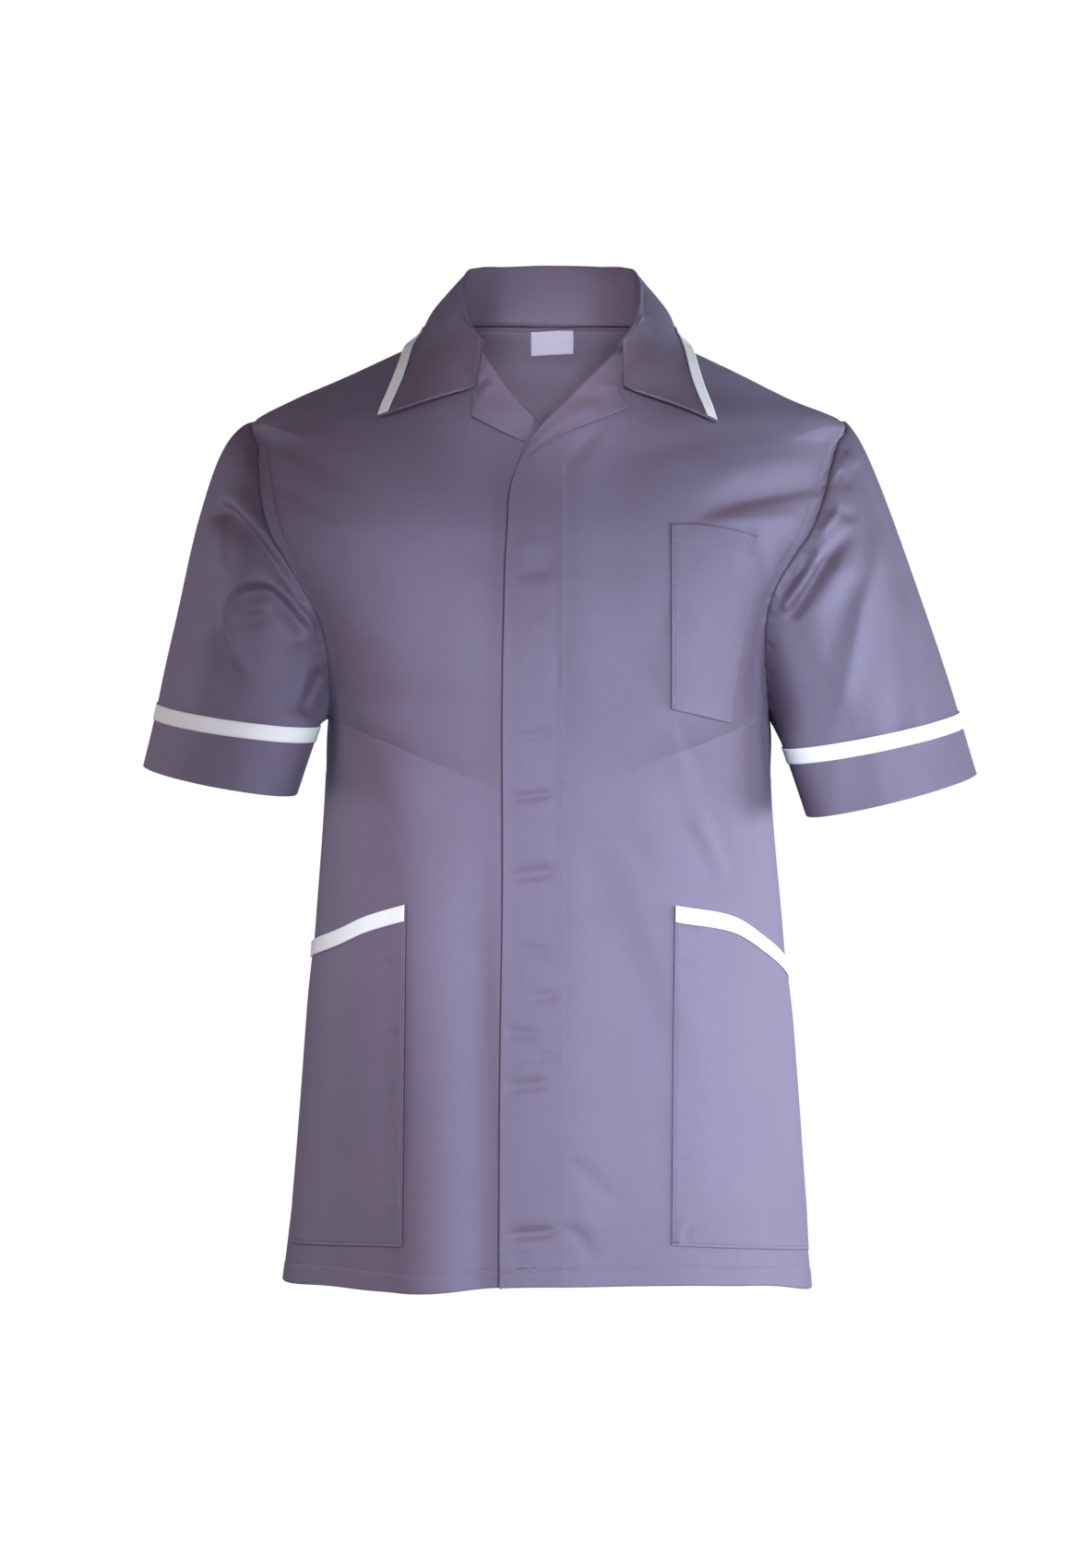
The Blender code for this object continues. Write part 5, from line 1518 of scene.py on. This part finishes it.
def weave_group():
    """A twill weave on a map in metres: slanting ribs, each broken into short threads. It puts out a
    height and a mask of the ribs' tops."""
    if "twill_weave" in bpy.data.node_groups:
        return bpy.data.node_groups["twill_weave"]
    tree, start, end = open_group("twill_weave", "Pitch", WEAVE_PITCH, ("Height", "Rib"))
    split = tree.nodes.new("ShaderNodeSeparateXYZ")
    tree.links.new(start.outputs["Map"], split.inputs[0])
    u = math_node(tree, "DIVIDE", split.outputs[0], start.outputs["Pitch"])
    v = math_node(tree, "DIVIDE", split.outputs[1], start.outputs["Pitch"])
    slant = math_node(tree, "MULTIPLY_ADD", v, RIB_SLANT, u)
    cross = math_node(tree, "MULTIPLY", v, THREAD_SLANT[1])
    cross = math_node(tree, "MULTIPLY_ADD", u, THREAD_SLANT[0], cross)
    waves = []
    for place in (slant, cross):
        sine = math_node(tree, "SINE", math_node(tree, "MULTIPLY", place, 2 * math.pi))
        waves.append(math_node(tree, "MULTIPLY_ADD", sine, 0.5, 0.5))
    beads = math_node(tree, "MULTIPLY_ADD", waves[1], BEAD_SHARE, 1 - BEAD_SHARE)
    tree.links.new(math_node(tree, "MULTIPLY", waves[0], beads), end.inputs["Height"])
    tree.links.new(waves[0], end.inputs["Rib"])
    return tree


def grain_group():
    """Uneven yarns on a map in metres: fine streaks along and across the cloth, and slow patches, each
    a mask about 0.5."""
    if "yarn_grain" in bpy.data.node_groups:
        return bpy.data.node_groups["yarn_grain"]
    tree, start, end = open_group("yarn_grain", "Size", 2 * WEAVE_PITCH, ("Streaks", "Patches"))
    scale = math_node(tree, "DIVIDE", 1.0, start.outputs["Size"])
    found = []
    for stretch in GRAIN_STRETCHES:
        mapping = tree.nodes.new("ShaderNodeMapping")
        set_inputs(mapping, {"Scale": stretch})
        tree.links.new(start.outputs["Map"], mapping.inputs["Vector"])
        noise = tree.nodes.new("ShaderNodeTexNoise")
        set_inputs(noise, {"Detail": 2.0, "Roughness": 0.6})
        tree.links.new(mapping.outputs[0], noise.inputs["Vector"])
        tree.links.new(scale, noise.inputs["Scale"])
        found.append(noise.outputs["Fac"])
    both = math_node(tree, "ADD", found[0], found[1])
    tree.links.new(math_node(tree, "MULTIPLY", both, 0.5), end.inputs["Streaks"])
    tree.links.new(found[2], end.inputs["Patches"])
    return tree


# The slants of the weave's ribs and of the threads across them, and the stretches of the noise
# along, across and in patches
WEAVE_PITCH = 0.0006
RIB_SLANT = 0.6
THREAD_SLANT = (-0.8, 1.6)
BEAD_SHARE = 0.45
GRAIN_STRETCHES = ((1.0, 0.3, 1.0), (0.25, 1.0, 1.0), (0.035, 0.035, 0.035))
OVERLOCK_COLOUR = (0.045, 0.03, 0.04)
Cloth = namedtuple("Cloth", "roughness ior specular sheen sheen_roughness pitch bump grain fuzz")
FINISHES = {
    "body": Cloth(0.6, 1.75, 1.0, 0.2, 0.4, 0.00062, 0.0001, 0.16, 0.00005),
    "tape": Cloth(0.8, 1.5, 0.3, 0.1, 0.5, 0.0009, 0.00014, 0.05, 0.00006),
    "label": Cloth(0.62, 1.5, 0.3, 0.05, 0.4, 0.00035, 0.00003, 0.04, 0.00002),
    "thread": Cloth(0.5, 1.6, 0.7, 0.2, 0.4, 0.0003, 0.00003, 0.06, 0.00002),
}
WHITE = (1.0, 1.0, 1.0)
SHEEN_TINT = {"body": (0.62, 0.66, 1.0), "tape": (0.9, 0.95, 1.0), "label": WHITE, "thread": (0.8, 0.8, 1.0)}
SPECULAR_TINT = {"body": (0.55, 0.61, 1.0), "tape": WHITE, "label": WHITE, "thread": (0.8, 0.85, 1.0)}

# The yarns' streaks are so many pitches long. A cloth's tone is that share of its streaks, its
# patches and its ribs, its colour varies by SPREAD times its grain, and its gloss by GLOSS_SPREAD.
STREAK_SIZE = 3.4
STREAK_SHARE, PATCH_SHARE, RIB_SHARE = 0.65, 0.35, 0.12
SPREAD = 2.2
GLOSS_SPREAD = 0.16
PLASTIC_GRAIN = 0.004
PLASTIC_SPREAD = 0.15
PLASTIC_ROUGHNESS = 0.2


def new_material(name):
    """(material, its node tree, its shader)."""
    material = bpy.data.materials.new(name)
    material.use_nodes = True
    return material, material.node_tree, material.node_tree.nodes["Principled BSDF"]


def placed_group(tree, group, vector, name, value):
    """A group in a material, fed the map and one number of its own."""
    node = tree.nodes.new("ShaderNodeGroup")
    node.node_tree = group
    tree.links.new(vector, node.inputs["Map"])
    set_inputs(node, {name: value})
    return node


def uneven_colour(tree, shader, colour, spread, tone):
    """Feeds the shader's colour, as much darker and lighter as spread says, by the tone."""
    mix = tree.nodes.new("ShaderNodeMix")
    mix.data_type = "RGBA"
    dark = [c * (1 - spread) for c in colour]
    light = [min(c * (1 + spread), 1) for c in colour]
    set_inputs(mix, {"A": (*dark, 1), "B": (*light, 1)})
    tree.links.new(tone, mix.inputs["Factor"])
    tree.links.new(mix.outputs["Result"], shader.inputs["Base Color"])


def cloth_material(name, colour, kind, map_name=UV_NAME):
    """A woven cloth's material: its colour varies with the yarns, its ribs and yarns raise it, and its
    gloss is uneven."""
    finish = FINISHES[kind]
    material, tree, shader = new_material(name)
    if map_name:
        source = tree.nodes.new("ShaderNodeUVMap")
        source.uv_map = map_name
        vector = source.outputs[0]
    else:
        vector = tree.nodes.new("ShaderNodeTexCoord").outputs["Object"]
    weave = placed_group(tree, weave_group(), vector, "Pitch", finish.pitch)
    grain = placed_group(tree, grain_group(), vector, "Size", STREAK_SIZE * finish.pitch)
    streaks = grain.outputs["Streaks"]
    tone = math_node(tree, "MULTIPLY", streaks, STREAK_SHARE)
    tone = math_node(tree, "MULTIPLY_ADD", grain.outputs["Patches"], PATCH_SHARE, tone)
    tone = math_node(tree, "MULTIPLY_ADD", weave.outputs["Rib"], RIB_SHARE, tone)
    uneven_colour(tree, shader, colour, SPREAD * finish.grain, tone)
    smoothest = finish.roughness - GLOSS_SPREAD / 2
    rough = math_node(tree, "MULTIPLY_ADD", streaks, GLOSS_SPREAD, smoothest)
    tree.links.new(rough, shader.inputs["Roughness"])
    set_inputs(shader, {
        "Metallic": 0.0,
        "IOR": finish.ior,
        "Specular IOR Level": finish.specular,
        "Specular Tint": (*SPECULAR_TINT[kind], 1),
        "Sheen Weight": finish.sheen,
        "Sheen Roughness": finish.sheen_roughness,
        "Sheen Tint": (*SHEEN_TINT[kind], 1),
    })
    height = math_node(tree, "MULTIPLY", streaks, finish.fuzz / finish.bump)
    height = math_node(tree, "ADD", height, weave.outputs["Height"])
    bump = tree.nodes.new("ShaderNodeBump")
    set_inputs(bump, {"Distance": finish.bump, "Strength": 1.0})
    tree.links.new(height, bump.inputs["Height"])
    tree.links.new(bump.outputs[0], shader.inputs["Normal"])
    material.diffuse_color = (*colour, 1)
    return material


def plastic_material(name, colour):
    """The buttons' moulded plastic, with a faint cloudiness and fine scratches."""
    material, tree, shader = new_material(name)
    vector = tree.nodes.new("ShaderNodeTexCoord").outputs["Object"]
    grain = placed_group(tree, grain_group(), vector, "Size", PLASTIC_GRAIN)
    uneven_colour(tree, shader, colour, PLASTIC_SPREAD, grain.outputs["Patches"])
    roughness = (PLASTIC_ROUGHNESS, PLASTIC_ROUGHNESS)
    rough = math_node(tree, "MULTIPLY_ADD", grain.outputs["Streaks"], *roughness)
    tree.links.new(rough, shader.inputs["Roughness"])
    return material


def cloth_once(name, colour, kind, map_name=UV_NAME):
    """The cloth material of that name, made the first time."""
    return bpy.data.materials.get(name) or cloth_material(name, tuple(colour), kind, map_name)


def body_cloth():
    """The tunic's own twill."""
    return cloth_once("grey_purple_twill", settings().cloth_colour, "body")


def white_tape():
    """The tape trim's weave."""
    return cloth_once("woven_white_tape", settings().tape_colour, "tape")


def satin():
    """The blank label's satin."""
    return cloth_once("woven_label_satin", settings().label_colour, "label")


def matching_thread():
    """The thread of the seams and pockets."""
    return cloth_once("matching_thread", settings().thread_colour, "thread", "")


def overlock_thread():
    """The dark thread of the overlocked neck seam."""
    return cloth_once("overlock_thread", OVERLOCK_COLOUR, "thread", "")


def white_thread():
    """The tapes' own thread."""
    return cloth_once("white_thread", settings().tape_colour, "thread", "")


# The sheets' flat cuts: (width, length) of the cut's box and its area, of what shows
Cut = namedtuple("Cut", "width length area held rests_on")


def body_sheet(node, points, closed=False, flip=False, wall=None):
    """A piece in the tunic's own cloth, named for its node."""
    wall = wall or settings().wall
    return cloth_piece(f"{node}_cloth", points, body_cloth(), wall, node, "body_cloth", closed, flip)


def tape_sheet(node, points, closed=False, flip=False, name=None):
    """A piece in the white tape, named for its node unless it has a name of its own."""
    name = name or f"{node}_tape"
    return cloth_piece(name, points, white_tape(), TAPE_WALL, node, "white_tape", closed, flip)


def body_stitching(node, lots):
    """The stitching on a piece of the tunic's own cloth."""
    return thread_piece(f"{node}_stitching", lots, matching_thread())


def tape_stitching(node, lots):
    """The stitching on a tape."""
    return thread_piece(f"{node}_stitching", lots, white_thread())


def settings():
    """The scene's own values of the tunic's settings."""
    return bpy.context.scene.work_tunic


def colour_property(name, description, colour):
    """A setting that holds a colour."""
    return FloatVectorProperty(
        name=name, description=description, subtype="COLOR", size=3, min=0, max=1, default=colour,
    )


class TunicSettings(PropertyGroup):
    """The tunic's colours and the thickness of its cloth"""

    cloth_colour: colour_property("Cloth", "The twill's colour", (0.116, 0.078, 0.104))
    tape_colour: colour_property("Tape", "The tape trim's colour", (0.86, 0.87, 0.9))
    label_colour: colour_property("Label", "The blank label's colour", (0.44, 0.42, 0.54))
    thread_colour: colour_property("Thread", "The matching thread's colour", (0.19, 0.18, 0.25))
    button_colour: colour_property("Buttons", "The hidden buttons' colour", (0.1, 0.09, 0.13))
    wall: FloatProperty(
        name="Cloth wall", description="The thickness of one layer of cloth", unit="LENGTH",
        default=WALL, min=0.0003, max=0.003,
    )


class TUNIC_OT_fronts(Operator):
    """The two front panels, with their turned hems and the fly"""

    bl_idname = "tunic.fronts"
    bl_label = "Fronts"

    def execute(self, context):
        for side in SIDES:
            name = f"front_{SIDES[side]}"
            points, line = front_grid(side)
            turned_points = points if side < 0 else turned(points, FLY_TURN, side)
            turned_points = swapped(turned(swapped(turned_points), HEM_TURN, -side))
            piece = body_sheet(name, turned_points, flip=side < 0)
            lots = [stitches(*grid_path(points, np.arange(len(points)), HEM_ROW, side))]
            if line is not None:
                path, normal = grid_path(points, line, np.arange(points.shape[1]), side)
                below = path[:, 2] < FLY_STITCH_TOP
                lots.append(stitches(path[below], normal[below]))
                tacked = (path[:, 2] < FLY_TACK[1]) & (path[:, 2] > FLY_TACK[0])
                lots.append(zigzag(path[tacked], normal[tacked], TACK_WIDTH, TACK_PITCH))
            body_stitching(name, lots)
        return {"FINISHED"}


class TUNIC_OT_back(Operator):
    """The back panel, with its turned hem and the overlocked neck seam"""

    bl_idname = "tunic.back"
    bl_label = "Back"

    def execute(self, context):
        points = back_grid()
        turned_points = swapped(turned(swapped(points), HEM_TURN, 1))
        piece = body_sheet("back", turned_points, flip=True)
        lots = [stitches(*grid_path(points, np.arange(len(points)), HEM_ROW, -1))]
        top = points.shape[1] - 1
        inside = [np.flatnonzero(np.abs(points[:, -1, 0]) < NECK_SEAM_REACH)[i] for i in (0, -1)]
        below = [
            grid_line(points, (inside[0], top - drop), (inside[1], top - drop), 1, WALL)
            for drop in NECK_SEAM_ROWS
        ]
        lots.append(stitches(*below[1]))
        threads = body_stitching("back", lots)
        lots = [zigzag(*below[0], OVERLOCK_WIDTH, OVERLOCK_PITCH)]
        overlock = thread_piece("neck_overlock", lots, overlock_thread())
        return {"FINISHED"}


class TUNIC_OT_sleeves(Operator):
    """The sleeves, and the tapes round them"""

    bl_idname = "tunic.sleeves"
    bl_label = "Sleeves"

    def execute(self, context):
        for side in SIDES:
            points = sleeve_grid(side)
            name = f"sleeve_{SIDES[side]}"
            body_sheet(name, points, True, side > 0)
            band = band_grid(side, points)
            name = f"sleeve_band_{SIDES[side]}"
            piece = tape_sheet(name, band, True, side > 0)
            ring = np.concatenate([band, band[:1]])
            lines = [((0, row), (len(band), row)) for row in TAPE_STITCH_ROWS]
            tape_stitching(name, line_stitches(ring, lines, -side))
        return {"FINISHED"}


class TUNIC_OT_collar(Operator):
    """The collar and the tape along its edge"""

    bl_idname = "tunic.collar"
    bl_label = "Collar"

    def execute(self, context):
        points = collar_grid()
        tape = collar_tape_grid(points)
        ends = (STAND_STITCH_INSET, len(points) - 1 - STAND_STITCH_INSET)
        line = [(column_at, STAND_STITCH_ROW) for column_at in ends]
        threads = body_stitching("collar", line_stitches(points, [line], 1))
        radius = collar_edge_radius(points)
        for side in (1, -1):
            points = turned(points, COLLAR_TURN, side, radius)[::-1]
        body_sheet("collar", points, wall=COLLAR_WALL)
        piece = tape_sheet("collar_trim", tape, name="collar_tape")
        lines = [((0, row), (len(tape) - 1, row)) for row in TAPE_STITCH_ROWS]
        tape_stitching("collar_trim", line_stitches(tape, lines, 1))
        return {"FINISHED"}


class TUNIC_OT_lapels(Operator):
    """The lapels, rolled over the fronts' necklines"""

    bl_idname = "tunic.lapels"
    bl_label = "Lapels"

    def execute(self, context):
        for side in SIDES:
            name = f"lapel_{SIDES[side]}"
            body_sheet(name, lapel_grid(side), flip=side > 0)
        return {"FINISHED"}


class TUNIC_OT_pockets(Operator):
    """The chest pocket, the hip pockets and the tapes on their mouths"""

    bl_idname = "tunic.pockets"
    bl_label = "Pockets"

    def execute(self, context):
        chest = chest_pocket_grid()
        piece = body_sheet("chest_pocket", chest)
        body_stitching("chest_pocket", chest_lots(chest))
        for side in SIDES:
            name = f"hip_pocket_{SIDES[side]}"
            pocket = hip_pocket_grid(side)
            piece = body_sheet(name, pocket, flip=side < 0)
            body_stitching(name, hip_lots(pocket, side))
            name = f"hip_trim_{SIDES[side]}"
            tape = hip_trim_grid(side)
            piece = tape_sheet(name, tape, flip=side < 0)
            tape_stitching(name, trim_lots(tape, side))
        return {"FINISHED"}


class TUNIC_OT_label(Operator):
    """The blank label inside the neck, and the hidden buttons' finish"""

    bl_idname = "tunic.label"
    bl_label = "Label and buttons"

    def execute(self, context):
        sheet = (label_grid(), satin(), TAPE_WALL)
        piece = cloth_piece("neck_label_satin", *sheet, "neck_label", "label_satin", flip=True)
        plastic = plastic_material("button_plastic", settings().button_colour)
        for name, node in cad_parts.items():
            if name.startswith("button_"):
                node.data.materials.clear()
                node.data.materials.append(plastic)
        return {"FINISHED"}


def studio_light(row):
    """A light that faces its target: a square soft box, or a soft spot with a cone in degrees, whose
    width is narrowed to that share of its height."""
    light = bpy.data.lights.new(row.name, "SPOT" if row.cone else "AREA")
    light.energy = row.energy
    light.color = row.colour
    if row.cone:
        light.spot_size = math.radians(row.cone)
        light.spot_blend = 1.0
        light.shadow_soft_size = row.size
    else:
        light.shape = "SQUARE"
        light.size = row.size
    lamp = bpy.data.objects.new(row.name, light)
    bpy.context.scene.collection.objects.link(lamp)
    lamp.location = row.place
    lamp.scale = (row.narrow, 1.0, 1.0)
    lamp.rotation_euler = (Vector(row.target) - Vector(row.place)).to_track_quat("-Z", "Y").to_euler()


Light = namedtuple("Light", "name place target size energy colour cone narrow")
LIGHTS = (
    Light("key", (3.3, -1.6, -0.7), (0, 0, -0.45), 1.3, 68, (0.84, 0.91, 1), 0, 1),
    Light("front_spot", (0.8, -3.9, 0.2), (0.02, -0.1, -0.6), 0.2, 850, (0.84, 0.91, 1), 19.5, 0.5),
    Light("middle_spot", (0.1, -3.9, -0.2), (-0.11, -0.1, -0.33), 0.06, 260, (0.86, 0.9, 1), 8.4, 0.48),
    Light("right_spot", (1.6, -3.5, 0), (0.2, -0.05, -0.42), 0.1, 350, (0.84, 0.91, 1), 17, 0.4),
    Light("neck_spot", (0, -3.4, 0.05), (0.002, 0.06, -0.015), 0.05, 540, (0.95, 0.96, 1), 3.7, 0.9),
    Light("left_fill", (-3, -1.8, 0.1), (0, 0, -0.35), 1.6, 40, (1, 0.88, 0.9), 0, 1),
    Light("left_rim", (-2.4, 1.6, -0.2), (0, 0, -0.4), 1.2, 12, (1, 0.95, 1), 0, 1),
    Light("right_rim", (2.8, 0.6, -0.5), (0, 0, -0.45), 1.2, 66, (0.9, 0.95, 1), 0, 1),
)


def studio_floor():
    """A plain pale floor, which gives no light to the tunic."""
    bpy.ops.mesh.primitive_circle_add(
        vertices=FLOOR_SIDES, radius=FLOOR_RADIUS, fill_type="NGON", location=(0, 0, FLOOR_Z),
    )
    floor = bpy.context.object
    floor.name = "studio_floor"
    material, _, shader = new_material("pale_floor")
    set_inputs(shader, {
        "Base Color": FLOOR_COLOUR,
        "Roughness": FLOOR_ROUGHNESS,
        "Specular IOR Level": 0.0,
        "Emission Color": SEEN_COLOUR,
        "Emission Strength": FLOOR_GLOW,
    })
    floor.data.materials.append(material)
    floor.visible_diffuse = False
    floor.visible_glossy = False


def studio_room(scene):
    """The room: white where the camera sees it, and a dim soft light on the tunic."""
    world = bpy.data.worlds.new("studio")
    scene.world = world
    world.use_nodes = True
    nodes, links = world.node_tree.nodes, world.node_tree.links
    seen, lit = nodes["Background"], nodes.new("ShaderNodeBackground")
    set_inputs(seen, {"Color": SEEN_COLOUR, "Strength": 1.0})
    set_inputs(lit, {"Color": ROOM_COLOUR, "Strength": ROOM_STRENGTH})
    mix = nodes.new("ShaderNodeMixShader")
    path = nodes.new("ShaderNodeLightPath")
    links.new(path.outputs["Is Camera Ray"], mix.inputs[0])
    links.new(lit.outputs[0], mix.inputs[1])
    links.new(seen.outputs[0], mix.inputs[2])
    links.new(mix.outputs[0], nodes["World Output"].inputs["Surface"])
    scene.view_settings.view_transform = "Standard"


def studio_camera(scene):
    """The camera, about level with the tunic's middle, straight in front of it."""
    camera = bpy.data.objects.new("camera", bpy.data.cameras.new("camera"))
    camera.data.lens = CAMERA_LENS
    camera.data.clip_end = CAMERA_REACH
    camera.location = CAMERA_PLACE
    camera.rotation_euler = (math.pi / 2, 0, 0)
    scene.collection.objects.link(camera)
    scene.camera = camera


class TUNIC_OT_stage(Operator):
    """The plain pale floor, the studio's light and the camera"""

    bl_idname = "tunic.stage"
    bl_label = "Studio"

    def execute(self, context):
        studio_floor()
        for light in LIGHTS:
            studio_light(light)
        studio_room(context.scene)
        studio_camera(context.scene)
        return {"FINISHED"}


OPERATORS = (
    TUNIC_OT_fronts, TUNIC_OT_back, TUNIC_OT_sleeves, TUNIC_OT_collar, TUNIC_OT_lapels, TUNIC_OT_pockets,
    TUNIC_OT_label, TUNIC_OT_stage,
)


class TUNIC_PT_panel(Panel):
    """The tunic's settings and steps"""

    bl_idname = "TUNIC_PT_panel"
    bl_label = "Work tunic"
    bl_space_type = "VIEW_3D"
    bl_region_type = "UI"
    bl_category = "Tunic"

    def draw(self, context):
        for name in TunicSettings.__annotations__:
            self.layout.prop(context.scene.work_tunic, name)
        for operator in OPERATORS:
            self.layout.operator(operator.bl_idname)


CLASSES = (TunicSettings, *OPERATORS, TUNIC_PT_panel)


def register():
    """Registers the classes and the settings."""
    for cls in CLASSES:
        bpy.utils.register_class(cls)
    bpy.types.Scene.work_tunic = PointerProperty(type=TunicSettings)


def unregister():
    """Takes the settings and the classes away again."""
    del bpy.types.Scene.work_tunic
    for cls in reversed(CLASSES):
        bpy.utils.unregister_class(cls)


def main():
    """Makes the tunic and its studio."""
    register()
    for operator in OPERATORS:
        group, name = operator.bl_idname.split(".")
        getattr(getattr(bpy.ops, group), name)()


if __name__ == "__main__":
    main()
